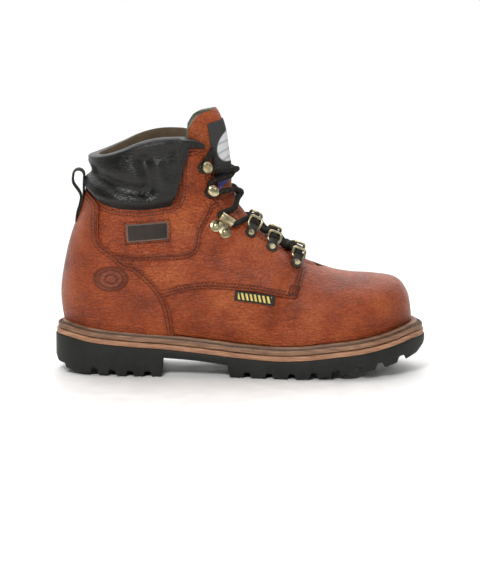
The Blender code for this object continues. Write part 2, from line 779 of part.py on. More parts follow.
def plan_stops(margin, count):
    """Stops along a plan, closer together at heel and toe."""
    angle = np.linspace(0.0, math.pi, count)
    length = LAST_LENGTH + margin.heel + margin.toe
    return LAST_BACK - margin.heel + length * (1 - np.cos(angle)) / 2


def welt_top(x):
    """Top of the welt, under the upper's lower edge."""
    return float(feather_z(x)) - CLEARANCE


def midsole_top(x):
    """Top of the midsole band."""
    return welt_top(x) - WELT_HEIGHT - 3 * CLEARANCE


def outsole_top(x):
    """Top of the rubber."""
    return midsole_top(x) - MIDSOLE_HEIGHT - CLEARANCE


# The underside of the rubber seen from the side: x as a share of the sole's length,
# z as a share of the heel height
Under = namedtuple("Under", "at rise")
HEEL_UNDER = [
    Under(0.000, 0.270),
    Under(0.010, 0.195),
    Under(0.026, 0.180),
    Under(0.030, 0.105),
    Under(0.048, 0.070),
    Under(0.080, 0.050),
    Under(0.135, 0.030),
    Under(0.190, 0.000),
    Under(0.300, 0.000),
]
BALL_UNDER = [
    Under(0.460, 0.030),
    Under(0.495, 0.018),
    Under(0.525, 0.000),
    Under(0.655, 0.000),
    Under(0.690, 0.030),
    Under(0.735, 0.066),
    Under(0.785, 0.105),
    Under(0.845, 0.170),
    Under(0.895, 0.230),
    Under(0.940, 0.310),
    Under(0.975, 0.400),
    Under(1.000, 0.560),
]
ARCH_UNDER = [Under(0.288, 0.370), Under(0.380, 0.320), Under(0.475, 0.230)]

# Rows that only carry a line on to the breast or the arch, where no stop is wanted
PAST_THE_EDGE = (0.300, 0.288, 0.460, 0.475)


def under_line(table, x):
    """Height of the rubber's underside from one of its tables."""
    return HEEL_HEIGHT * float(np.interp(x / SOLE_LENGTH, column(table, "at"), column(table, "rise")))


def grooves():
    """Middle of each groove across the tread."""
    made = []
    x = BREAST_X - 0.0115
    while x > 2 * HEEL_LUG_PITCH:
        made.append(x)
        x -= HEEL_LUG_PITCH
    x = ARCH_END_X + BALL_LUG_PITCH - GROOVE_WIDTH / 2
    while x < SOLE_LENGTH - GROOVE_WIDTH:
        made.append(x)
        x += BALL_LUG_PITCH
    return made


def build_sole(looks, frame):
    """Outsole, midsole, welt and insole."""
    half = GROOVE_WIDTH / 2
    cuts = grooves()
    margin = OUTSOLE_OUT
    stops = set(plan_stops(margin, 15)[[0, 1, 2, -3, -2, -1]])
    for table in (HEEL_UNDER, BALL_UNDER, ARCH_UNDER):
        stops |= {row.at * SOLE_LENGTH for row in table if row.at not in PAST_THE_EDGE}
    wall = LUG_DRAFT
    stops |= {BREAST_X, BREAST_X + wall, ARCH_END_X - wall, ARCH_END_X}
    for x in cuts:
        stops = {stop for stop in stops if abs(stop - x) > half + 2 * wall}
        stops |= {x - half, x - half + wall, x + half - wall, x + half}
    stops = sorted(stops)

    def underside(x, share):
        if x <= BREAST_X + wall / 2:
            low = under_line(HEEL_UNDER, x)
        elif x >= ARCH_END_X - wall / 2:
            low = under_line(BALL_UNDER, x)
        else:
            return under_line(ARCH_UNDER, x)
        in_groove = any(abs(stop - x) <= half - wall * 0.9 for stop in cuts)
        if in_groove and abs(share - 0.5) > SPINE_SHARE / 2 - 0.01:
            roof = outsole_top(x) - 0.0020
            low = min(low + LUG_DEPTH, roof)
        return low

    spine = SPINE_SHARE / 2
    across = [0.0, 0.5 - spine, 0.5 - spine + 0.02, 0.5 + spine - 0.02, 0.5 + spine, 1.0]
    plate("outsole", margin, outsole_top, underside, stops, across, looks["rubber"], frame)
    stops = plan_stops(MIDSOLE_OUT, 25)
    flat = [0.0, 0.35, 0.65, 1.0]
    plate(
        "midsole",
        MIDSOLE_OUT,
        midsole_top,
        lambda x, share: midsole_top(x) - MIDSOLE_HEIGHT,
        stops,
        flat,
        looks["midsole"],
        frame,
    )
    stops = plan_stops(INSOLE_OUT, 21)
    plate(
        "insole",
        INSOLE_OUT,
        lambda x: float(feather_z(x)) + INSOLE_ABOVE_FEATHER,
        lambda x, share: midsole_top(x) + 2 * CLEARANCE,
        stops,
        flat,
        looks["insole"],
        frame,
    )
    build_welt(looks, frame)


def plan_ring(margin, count):
    """Points round a plan, from the toe along the lateral side and back."""
    made = []
    length = LAST_LENGTH + margin.heel + margin.toe
    for k in range(count):
        angle = 2 * math.pi * k / count
        x = LAST_BACK - margin.heel + length * (1 + math.cos(angle)) / 2
        side = "lateral" if angle <= math.pi else "medial"
        made.append((x, SIDES[side] * float(half_width(x, side, margin))))
    return made


def build_welt(looks, frame):
    """The strip round the feather line, with its raised outer rib."""
    count = 44
    outer = plan_ring(WELT_OUT, count)
    inner = plan_ring(WELT_IN, count)
    rings = []
    for (out_x, out_y), (in_x, in_y) in zip(outer, inner):
        ring = []
        for share, down in ((0.0, 0.0), (0.62, 0.0), (0.70, WELT_RIB), (1.0, WELT_RIB)):
            x = in_x + share * (out_x - in_x)
            y = in_y + share * (out_y - in_y)
            ring.append((x, y, welt_top(x) - down))
        for x, y in ((out_x, out_y), (in_x, in_y)):
            ring.append((x, y, welt_top(x) - WELT_HEIGHT))
        rings.append(ring)
    shape = loft(rings, closed_loop=True)
    add_object("welt", mesh_from(shape, "welt"), looks["welt"], frame)


def seat(x, z, side, lift):
    """A matrix on the upper's surface: local y towards the ridge, local z outward."""
    s, v = locate(np.array([x]), np.array([z]), side)
    spot = last_point(s, v, side, lift)[0]
    outward = Vector(last_normal(s, v, side)[0])
    ahead = Vector(last_point(s + 0.02, v, side)[0] - last_point(s - 0.02, v, side)[0])
    ahead = (ahead - ahead.dot(outward) * outward).normalized()
    turned = Matrix((ahead.cross(outward), ahead, outward)).transposed().to_4x4()
    return Matrix.Translation(Vector(spot)) @ turned


def place(name, mesh, spot, look, frame):
    """Puts a fitting on its seat."""
    made = add_object(name, mesh, None, frame)
    if not mesh.materials:
        mesh.materials.append(look)
    made.matrix_local = spot
    return made


def rivet_mesh():
    """A domed rivet head on its washer."""
    profile = [(WASHER_SHARE, 0.0), (WASHER_SHARE, 0.35), (1.0, 0.45), (0.6, 1.15)]
    rings = []
    for radius, height in profile:
        ring = []
        for k in range(8):
            angle = 2 * math.pi * k / 8
            reach = radius * RIVET_RADIUS
            ring.append((reach * math.cos(angle), reach * math.sin(angle), height * RIVET_HEIGHT))
        rings.append(ring)
    return mesh_from(loft(rings), "rivet")


def strip_mesh(name, profile, width):
    """A bent strip: a closed profile of y and z drawn out to a width along x."""
    rings = [[(x, y, z) for y, z in profile] for x in (-width / 2, width / 2)]
    return mesh_from(loft(rings), name)


def band(points, thickness):
    """A closed profile along a line of points, with a thickness."""
    line = [Vector(point) for point in points]
    left, right = [], []
    for k, point in enumerate(line):
        ahead = line[min(k + 1, len(line) - 1)] - line[max(k - 1, 0)]
        across = Vector((-ahead.y, ahead.x)).normalized() * thickness / 2
        left.append(tuple(point + across))
        right.append(tuple(point - across))
    return left + right[::-1]


def hook_mesh():
    """A speed hook, open away from the throat."""
    reach, rise = HOOK_REACH / 2, HOOK_RISE
    line = [(-reach, 0.0), (reach * 0.55, 0.0), (reach * 0.95, rise * 0.25), (reach, rise * 0.6)]
    line += [(reach * 0.7, rise * 0.92), (reach * 0.1, rise), (-reach * 0.55, rise * 0.88)]
    return strip_mesh("hook", band(line, PLATE), HOOK_WIDTH)


def lock_mesh():
    """The lace lock: a riveted plate whose end is rolled into a loop."""
    return strip_mesh("lock", band(LOCK_LINE, PLATE), LOCK_WIDTH)


def ring_mesh():
    """A D-shaped wire ring, standing up from its foot at the facing's edge."""
    tilt = math.radians(RING_TILT)
    half, height = RING_WIDTH / 2, RING_HEIGHT
    line = [(-half * 0.9, 0.0), (0.0, -0.0002), (half * 0.9, 0.0)]
    for k in range(6):
        angle = math.pi * (k + 0.5) / 6
        line.append((half * math.cos(angle), height * (0.25 + 0.75 * math.sin(angle))))
    foot = WIRE_RADIUS + 0.0002
    centres = [Vector((x, y * math.cos(tilt), y * math.sin(tilt) + foot)) for x, y in line]
    return mesh_from(tube(centres, WIRE_RADIUS, 5, closed=True), "ring")


def tube(centres, radius, sides, closed=False):
    """A bmesh tube along a line of centres."""
    rings = []
    last = len(centres) - 1
    up = None
    for k, centre in enumerate(centres):
        if closed:
            ahead = centres[(k + 1) % len(centres)] - centres[k - 1]
        else:
            ahead = centres[min(k + 1, last)] - centres[max(k - 1, 0)]
        ahead.normalize()
        if up is None:
            up = ahead.orthogonal().normalized()
        up = (up - up.dot(ahead) * ahead).normalized()
        across = ahead.cross(up)
        ring = []
        for n in range(sides):
            angle = 2 * math.pi * n / sides
            ring.append(centre + radius * (math.cos(angle) * up + math.sin(angle) * across))
        rings.append(ring)
    return loft(rings, closed_loop=closed)


def build_fittings(looks, frame):
    """Rings, locks, hooks and their rivets, the same on both facings."""
    rivet, ring, lock, hook = rivet_mesh(), ring_mesh(), lock_mesh(), hook_mesh()
    metal = looks["metal"]
    on_quarter = OVERLAY + OVERLAY_GAP + CLEARANCE
    for side in SIDES:
        for fitting in RINGS:
            saddle = SADDLE_LIFT if fitting.name == "1" else 0.0
            spot = seat(along(fitting.at), above(fitting.height), side, on_quarter + saddle)
            place("rivet_ring_{}_{}".format(side, fitting.name), rivet, spot, metal, frame)
            lifted = spot @ Matrix.Translation((0.0, WASHER_SHARE * RIVET_RADIUS + WIRE_RADIUS + CLEARANCE, 0.0))
            place("d_ring_{}_{}".format(side, fitting.name), ring, lifted, metal, frame)
        spot = seat(along(LOCK.at), above(LOCK.height), side, on_quarter + PLATE / 2)
        place("lock_" + side, lock, spot @ Matrix.Translation((0.0, LOCK_SHIFT, 0.0)), metal, frame)
        shift = PLATE / 2 + CLEARANCE
        for name, x in (("1", -RIVET_RADIUS * 1.7), ("2", RIVET_RADIUS * 1.7)):
            on_plate = spot @ Matrix.Translation((x, 0.0, shift))
            place("rivet_lock_{}_{}".format(side, name), rivet, on_plate, metal, frame)
        for fitting in HOOKS:
            spot = seat(along(fitting.at), above(fitting.height), side, CLEARANCE + PLATE)
            place("hook_{}_{}".format(side, fitting.name), hook, spot, metal, frame)


def crossing(name, low, high, spread, look, frame):
    """Two lace strands that cross over the tongue, joined where they meet."""
    made = []
    for turn in (-1, 1):
        share = np.linspace(0.0, 1.0, 7)
        start, end = turn * spread[0], -turn * spread[1]
        centres = []
        for f in share:
            c = start + (end - start) * f
            v = low + (high - low) * f
            side = "lateral" if c < 0 else "medial"
            lift = LACE_RADIUS + 2.5 * CLEARANCE + LACE_DIP * abs(2 * f - 1) ** 2
            centres.append(Vector(last_point(1 - abs(c), v, side, lift)))
        shape = tube(centres, LACE_RADIUS, LACE_SIDES)
        label = name if turn < 0 else "cut_" + name
        made.append(add_object(label, mesh_from(shape, label), look, frame))
    made[1].hide_render = True
    made[1].display_type = "WIRE"
    union = made[0].modifiers.new("joined", "BOOLEAN")
    union.operation = "UNION"
    union.object = made[1]


def ridge_step(v):
    """How far apart neighbouring sections are along the ridge at section v."""
    ends = last_surface(np.array([1.0, 1.0]), np.array([v - 0.5, v + 0.5]), "lateral")
    return float(np.linalg.norm(ends[1] - ends[0]))


def build_lace(looks, frame):
    """The crossings between the fittings."""
    stops = []
    for fitting in RINGS + [LOCK] + HOOKS:
        s, v = locate(np.array([along(fitting.at)]), np.array([above(fitting.height)]), "lateral")
        stops.append((float(v[0]), 1 - float(s[0])))
    for k, ((low, low_wide), (high, high_wide)) in enumerate(zip(stops, stops[1:])):
        spread = (low_wide * LACE_REACH, high_wide * LACE_REACH)
        start = low + LACE_PITCH / ridge_step(low)
        end = high - LACE_PITCH / ridge_step(high)
        crossing("lace_cross_{}".format(k + 1), start, end, spread, looks["lace"], frame)


def heel_back(z):
    """The x of the counter's back at a height, on the boot's middle."""
    v = solve(lambda at: section_ends(at)[1] - z, HEEL_ROW + 0.0, len(SECTIONS) - 1.0)
    return float(section_ends(v)[0]) - COUNTER_GAP - COUNTER_OVERLAY


def build_loop(looks, frame):
    """The pull loop: webbing stitched double to the counter, open in a loop above."""
    strand = LOOP_THICKNESS / 2 + 0.0002
    middle = heel_back(LOOP_SPLIT_Z) - OVERLAY_GAP - strand - LOOP_THICKNESS / 2
    foot = heel_back(LOOP_FOOT_Z) - OVERLAY_GAP - strand - LOOP_THICKNESS / 2
    top = middle - LOOP_LEAN
    half = LOOP_GAP / 2
    rise = LOOP_TOP_Z - half
    back = [(foot - strand, LOOP_FOOT_Z), (middle - strand, LOOP_SPLIT_Z)]
    back += [(top - half, (LOOP_SPLIT_Z + rise) / 2 + 0.002)]
    front = [(top + half, (LOOP_SPLIT_Z + rise) / 2 + 0.002)]
    front += [(middle + strand, LOOP_SPLIT_Z), (foot + strand, LOOP_FOOT_Z)]
    arc = []
    for k in range(6):
        angle = math.pi * k / 5
        arc.append((top - half * math.cos(angle), rise + half * math.sin(angle)))
    line = [Vector(point) for point in back + arc + front]
    rings = []
    for k, point in enumerate(line):
        ahead = (line[(k + 1) % len(line)] - line[k - 1]).normalized()
        across = Vector((-ahead.y, ahead.x)) * LOOP_THICKNESS / 2
        ring = []
        for spot, y in ((point + across, -1), (point + across, 1), (point - across, 1), (point - across, -1)):
            ring.append((spot.x, y * LOOP_WIDTH / 2, spot.y))
        rings.append(ring)
    shape = loft(rings, closed_loop=True)
    add_object("pull_loop", mesh_from(shape, "pull_loop"), looks["fabric"], frame)


def build_label(looks, frame):
    """The plain label on the tongue."""
    rows = np.linspace(18.6, 22.6, 5)
    turn = np.linspace(-0.36, 0.36, 5)
    v = np.repeat(rows[:, None], len(turn), axis=1)
    t = np.repeat(turn[None, :], len(rows), axis=0)
    points = tongue_surface(t, v, CLEARANCE + 0.0001)
    made = add_object("tongue_label", sheet_mesh("tongue_label", [points]), looks["label"], frame)
    thicken(made, TAG_THICKNESS, True)


def clear_scene():
    """Removes whatever the scene holds."""
    for old in list(bpy.data.objects):
        bpy.data.objects.remove(old)


def main():
    """Builds the boot."""
    clear_scene()
    frame = bpy.data.objects.new("boot_frame", None)
    bpy.context.scene.collection.objects.link(frame)
    stops = plan_stops(OUTSOLE_OUT, 200)
    reach = [float(np.max(half_width(stops, side, OUTSOLE_OUT))) for side in SIDES]
    frame.location = (-SOLE_LENGTH / 2, (reach[0] - reach[1]) / 2, 0.0)
    looks = {
        "leather": material("leather", (0.30, 0.09, 0.035), 0.50),
        "collar": material("collar", (0.022, 0.022, 0.020), 0.48),
        "rubber": material("rubber", (0.028, 0.029, 0.025), 0.75),
        "welt": material("welt", (0.16, 0.085, 0.050), 0.70),
        "midsole": material("midsole", (0.36, 0.20, 0.10), 0.70),
        "insole": material("insole", (0.08, 0.06, 0.045), 0.90),
        "metal": material("metal", (0.50, 0.44, 0.28), 0.32, 1.0),
        "fabric": material("fabric", (0.05, 0.055, 0.045), 0.85),
        "label": material("label", (0.10, 0.11, 0.12), 0.60),
        "lace": material("lace", (0.020, 0.016, 0.012), 0.80),
    }
    build_sole(looks, frame)
    build_upper(looks, frame)
    build_overlays(looks, frame)
    build_collar(looks, frame)
    build_tongue(looks, frame)
    build_label(looks, frame)
    build_fittings(looks, frame)
    build_lace(looks, frame)
    build_loop(looks, frame)


main()
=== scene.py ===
"""The looks of a metatarsal guard work boot for the right foot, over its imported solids.

Lengths are metres. Shapes are worked out in the boot's own frame, with x forward
from the back of the sole, y towards the inner side of the foot and z up from the
floor, and moved to the model's frame when a piece is finished.
"""

import logging
import math
from dataclasses import dataclass, field
from enum import Enum
from typing import Callable, NamedTuple, Optional, Sequence

import bmesh
import bpy
import numpy as np
from mathutils import Matrix, Vector


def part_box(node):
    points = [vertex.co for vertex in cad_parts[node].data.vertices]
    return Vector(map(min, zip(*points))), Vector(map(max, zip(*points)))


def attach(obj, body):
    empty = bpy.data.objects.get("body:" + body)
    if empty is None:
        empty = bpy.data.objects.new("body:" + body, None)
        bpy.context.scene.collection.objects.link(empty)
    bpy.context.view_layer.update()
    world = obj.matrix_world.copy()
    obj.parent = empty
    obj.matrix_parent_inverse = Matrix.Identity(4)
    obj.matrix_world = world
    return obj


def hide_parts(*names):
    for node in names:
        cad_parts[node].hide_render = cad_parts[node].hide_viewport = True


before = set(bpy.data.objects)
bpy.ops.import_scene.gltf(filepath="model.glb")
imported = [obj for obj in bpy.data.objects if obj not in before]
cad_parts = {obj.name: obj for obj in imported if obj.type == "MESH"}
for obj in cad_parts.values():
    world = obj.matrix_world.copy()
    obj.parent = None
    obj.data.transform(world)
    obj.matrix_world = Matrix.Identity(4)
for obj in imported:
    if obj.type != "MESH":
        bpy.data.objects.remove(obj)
LOG = logging.getLogger("boot")

Array = np.ndarray
Mesh = bpy.types.Mesh
Piece = bpy.types.Object
Look = bpy.types.Material
Shape = bmesh.types.BMesh
CLOSE = 0.00002
BEVEL_ANGLE = math.radians(50)
PLAIN_EDGE = 0.009
STAMP_CENTRE = (0.0385, 0.0835)
STAMP_RADII = (0.015, 0.0112)


class Side(Enum):
    """The two sides of the boot: lateral faces the camera."""

    LATERAL = "lateral"
    MEDIAL = "medial"

    @property
    def sign(self) -> int:
        """The sign of y on this side."""
        return -1 if self is Side.LATERAL else 1

    @property
    def other(self) -> "Side":
        """The side across."""
        return Side.MEDIAL if self is Side.LATERAL else Side.LATERAL


class Slot(Enum):
    """Material slots of the record."""

    LEATHER = "leather"
    COLLAR = "collar_leather"
    OUTSOLE = "outsole"
    MIDSOLE = "midsole"
    WELT = "welt"
    INSOLE = "insole"
    METAL = "metal"
    WEBBING = "webbing"
    PATCH = "patch"
    TAG = "tag"
    LABEL = "label"
    LACE = "lace"


class Margin(NamedTuple):
    """How far a plan stands outside the last's plan."""

    heel: float
    toe: float
    side: float


class Mark(NamedTuple):
    """A side point as shares of the last's length and of the shaft's rise."""

    at: float
    height: float


NO_MARGIN = Margin(0.0, 0.0, 0.0)
WALL = 0.002
WELT_OUT = Margin(0.0085, 0.0097, 0.006)
WELT_IN = Margin(-WALL - 0.0006, -WALL - 0.0006, -WALL - 0.0006)
MIDSOLE_OUT = Margin(0.0095, 0.0107, 0.007)
OUTSOLE_OUT = Margin(0.0105, 0.0117, 0.0075)
INSOLE_OUT = Margin(-WALL - 0.0016, -WALL - 0.0016, -WALL - 0.0014)

# at, lateral, medial
PLANFORM = (
    (0.0, 0.26, 0.26), (0.12, 0.301, 0.301), (0.2, 0.332, 0.327), (0.3, 0.337, 0.318), (0.42, 0.362, 0.314),
    (0.52, 0.408, 0.347), (0.62, 0.464, 0.418), (0.7, 0.5, 0.48), (0.78, 0.5, 0.505), (0.86, 0.478, 0.505),
    (1.0, 0.4, 0.5)
)
FEATHER = (
    (0.0, 1.0), (0.08, 0.915), (0.17, 0.862), (0.27, 0.815), (0.38, 0.745), (0.5, 0.662), (0.6, 0.625),
    (0.68, 0.645), (0.76, 0.705), (0.84, 0.765), (0.91, 0.84), (0.97, 0.925), (1.0, 0.975)
)
# foot, rise, front, crest, lateral, medial, waist, crown
SECTIONS = (
    (1.000, 0.000, 1.001, -0.004, 0.000, 0.000, 0.30, 2.4),
    (0.985, 0.000, 0.998, 0.057, 0.000, 0.000, 0.30, 2.4),
    (0.955, 0.000, 0.988, 0.146, 0.000, 0.000, 0.30, 2.4),
    (0.915, 0.000, 0.956, 0.214, 0.000, 0.000, 0.30, 2.4),
    (0.860, 0.000, 0.893, 0.236, 0.000, 0.000, 0.30, 2.3),
    (0.790, 0.000, 0.817, 0.247, 0.000, 0.000, 0.29, 2.2),
    (0.720, 0.000, 0.749, 0.278, 0.000, 0.000, 0.28, 2.1),
    (0.650, 0.000, 0.687, 0.326, 0.000, 0.000, 0.28, 2.0),
    (0.575, 0.000, 0.636, 0.392, 0.440, 0.400, 0.29, 1.95),
    (0.495, 0.000, 0.584, 0.465, 0.418, 0.382, 0.30, 1.9),
    (0.410, 0.000, 0.542, 0.532, 0.398, 0.370, 0.30, 1.9),
    (0.320, 0.000, 0.509, 0.595, 0.385, 0.362, 0.30, 1.9),
    (0.230, 0.000, 0.492, 0.655, 0.378, 0.360, 0.30, 1.9),
    (0.145, 0.000, 0.482, 0.712, 0.374, 0.360, 0.29, 1.9),
    (0.065, 0.000, 0.478, 0.766, 0.370, 0.360, 0.28, 1.9),
    (0.012, 0.000, 0.475, 0.810, 0.366, 0.360, 0.28, 1.9),
    (0.000, 0.000, 0.473, 0.842, 0.365, 0.360, 0.28, 1.9),
    (-0.009, 0.146, 0.470, 0.873, 0.365, 0.361, 0.29, 1.9),
    (0.002, 0.304, 0.468, 0.908, 0.365, 0.362, 0.31, 1.95),
    (0.023, 0.462, 0.465, 0.943, 0.366, 0.364, 0.33, 2.0),
    (0.054, 0.614, 0.462, 0.981, 0.367, 0.367, 0.36, 2.0),
    (0.070, 0.753, 0.458, 1.025, 0.371, 0.371, 0.40, 2.0),
    (0.083, 0.861, 0.451, 1.070, 0.376, 0.376, 0.43, 2.1),
    (0.090, 0.956, 0.439, 1.120, 0.380, 0.380, 0.45, 2.1),
    (0.096, 1.050, 0.416, 1.177, 0.384, 0.384, 0.46, 2.1)
)
RIM = (
    (0.06, 0.88), (0.11, 0.897), (0.16, 0.93), (0.21, 0.97), (0.26, 0.993), (0.31, 0.999), (0.35, 0.994),
    (0.38, 0.975), (0.41, 0.942), (0.44, 0.925)
)
COLLAR_EDGE = (
    (0.055, 0.735), (0.074, 0.696), (0.099, 0.652), (0.128, 0.635), (0.16, 0.626), (0.212, 0.62),
    (0.265, 0.627), (0.3, 0.637), (0.318, 0.655), (0.325, 0.7), (0.33, 0.915), (0.348, 0.937),
    (0.37, 0.942), (0.392, 0.936), (0.41, 0.926)
)
# height, at
FACING = (
    (0.2, 0.87), (0.3, 0.705), (0.33, 0.664), (0.41, 0.6), (0.49, 0.54), (0.58, 0.484), (0.68, 0.436),
    (0.8, 0.416), (0.94, 0.407), (1.1, 0.4)
)
COUNTER_EDGE = (
    (-0.03, 0.735), (0.046, 0.725), (0.07, 0.688), (0.092, 0.65), (0.1, 0.62), (0.099, 0.54),
    (0.099, 0.465), (0.112, 0.425), (0.142, 0.384), (0.17, 0.336), (0.198, 0.322), (0.243, 0.256),
    (0.278, 0.18), (0.296, 0.11), (0.304, 0.045), (0.312, -0.06)
)
ANKLE_SEAM = (
    (0.143, 0.39), (0.175, 0.376), (0.225, 0.373), (0.285, 0.38), (0.33, 0.384), (0.356, 0.396),
    (0.369, 0.42), (0.372, 0.462), (0.377, 0.508), (0.388, 0.545), (0.402, 0.59), (0.418, 0.64), (0.5, 0.7)
)
VAMP_SEAM = (
    (0.74, 0.42), (0.7, 0.34), (0.686, 0.275), (0.674, 0.208), (0.662, 0.156), (0.645, 0.15),
    (0.598, 0.171), (0.54, 0.187), (0.47, 0.197), (0.4, 0.203), (0.34, 0.19), (0.284, 0.16)
)
PATCH = (Mark(0.174, 0.54), Mark(0.293, 0.553), Mark(0.297, 0.456), Mark(0.178, 0.447))
TAG = (Mark(0.489, 0.192), Mark(0.602, 0.169), Mark(0.598, 0.119), Mark(0.484, 0.141))
TAG_TILT = math.atan2(0.012, 0.113)
RINGS = (Mark(0.66, 0.308), Mark(0.59, 0.396), Mark(0.529, 0.474))
LOCK = Mark(0.443, 0.505)
HOOKS = (Mark(0.416, 0.7), Mark(0.396, 0.838))
# the lace's lift and its points as up, forward and out, at a ring, at the lock and at a hook
LACE_SPOTS = (
    (0.0023, ((-0.0032, 0.01, 0.002), (0.0, 0.0094, 0.003), (0.0034, 0.0098, 0.0022))),
    (
        0.0023,
        (
            (-0.0075, 0.009, 0.0036), (-0.003, 0.0092, 0.0044), (0.003, 0.0092, 0.0044),
            (0.0075, 0.0094, 0.0034)
        )
    ),
    (
        0.0012,
        (
            (-0.006, 0.0062, 0.0026), (-0.0044, 0.001, 0.0034), (-0.002, -0.0012, 0.0034),
            (0.002, -0.0012, 0.0034), (0.0044, 0.001, 0.0034), (0.006, 0.0062, 0.0026)
        )
    )
)
LACE_END = ((0.0072, 0.012, -0.0004), (0.0078, 0.016, -0.0045))


def smooth(knots: Array, values: Array, at: Array) -> Array:
    """Reads, at some places, a smooth curve through the values at rising knots."""
    slopes = np.gradient(values, knots)
    at = np.clip(at, knots[0], knots[-1])
    i = np.clip(np.searchsorted(knots, at, side="right") - 1, 0, len(knots) - 2)
    step = knots[i + 1] - knots[i]
    t = (at - knots[i]) / step
    start = (2 * t**3 - 3 * t**2 + 1) * values[i] + (t**3 - 2 * t**2 + t) * step * slopes[i]
    end = (3 * t**2 - 2 * t**3) * values[i + 1] + (t**3 - t**2) * step * slopes[i + 1]
    return start + end


def read(table: Sequence[tuple], at: Array, column: int = 1) -> Array:
    """A column of a table at places in its first column, smoothly."""
    knots = np.array(table)
    return smooth(knots[:, 0], knots[:, column], at)


def ease(share: Array) -> Array:
    """A smooth step from 0 to 1 over the share's range."""
    t = np.clip(share, 0.0, 1.0)
    return t * t * (3 - 2 * t)


def solve(function: Callable, low: Array, high: Array, steps: int = 34) -> Array:
    """Where a rising function crosses zero between low and high, by halving."""
    low = np.array(low, float)
    high = np.array(high, float)
    for _ in range(steps):
        middle = (low + high) / 2
        below = function(middle) < 0
        low = np.where(below, middle, low)
        high = np.where(below, high, middle)
    return (low + high) / 2


def run_of(points: Array) -> Array:
    """The distance along a line of points, from 0 at its first."""
    return np.concatenate([[0.0], np.cumsum(np.linalg.norm(np.diff(points, axis=0), axis=1))])


def spun(middle: tuple, radius: float, start: float, steps: int, sweep: float = 90.0) -> list:
    """Points on an arc, from a start angle in degrees."""
    turns = [math.radians(start + sweep * k / steps) for k in range(steps + 1)]
    return [(middle[0] + radius * math.cos(turn), middle[1] + radius * math.sin(turn)) for turn in turns]


def through(points: Array, count: int) -> Array:
    """Points at even distances on a smooth curve through some points, one a row."""
    points = np.asarray(points, float)
    knots = np.arange(len(points), dtype=float)
    dense = np.linspace(0.0, len(points) - 1, len(points) * 12)
    curve = np.stack([smooth(knots, points[:, k], dense) for k in range(points.shape[1])], axis=1)
    run = run_of(curve)
    at = np.linspace(0.0, run[-1], count)
    return np.stack([np.interp(at, run, curve[:, k]) for k in range(points.shape[1])], axis=1)


def distance_to(points: Array, line: Array) -> Array:
    """Distance from each point to a line through corners, one a row."""
    best = np.full(len(points), 1e9)
    for start, end in zip(line, line[1:]):
        long = end - start
        share = np.clip(((points - start) @ long) / max(float(long @ long), 1e-12), 0.0, 1.0)
        best = np.minimum(best, np.linalg.norm(points - start - share[:, None] * long, axis=1))
    return best


@dataclass(frozen=True)
class Trough:
    """A soft crease laid over the side of the boot.

    The points are side points in metres in the boot's frame, and a negative depth
    makes a ridge.
    """

    points: tuple
    width: float
    depth: float

    def offset(self, x: Array, z: Array) -> Array:
        """How far the surface moves out at each side point."""
        flat = np.stack([np.ravel(x), np.ravel(z)], axis=1)
        gap = distance_to(flat, through(np.array(self.points), 24)) / self.width
        return (-self.depth * np.exp(-(gap**2))).reshape(np.shape(x))


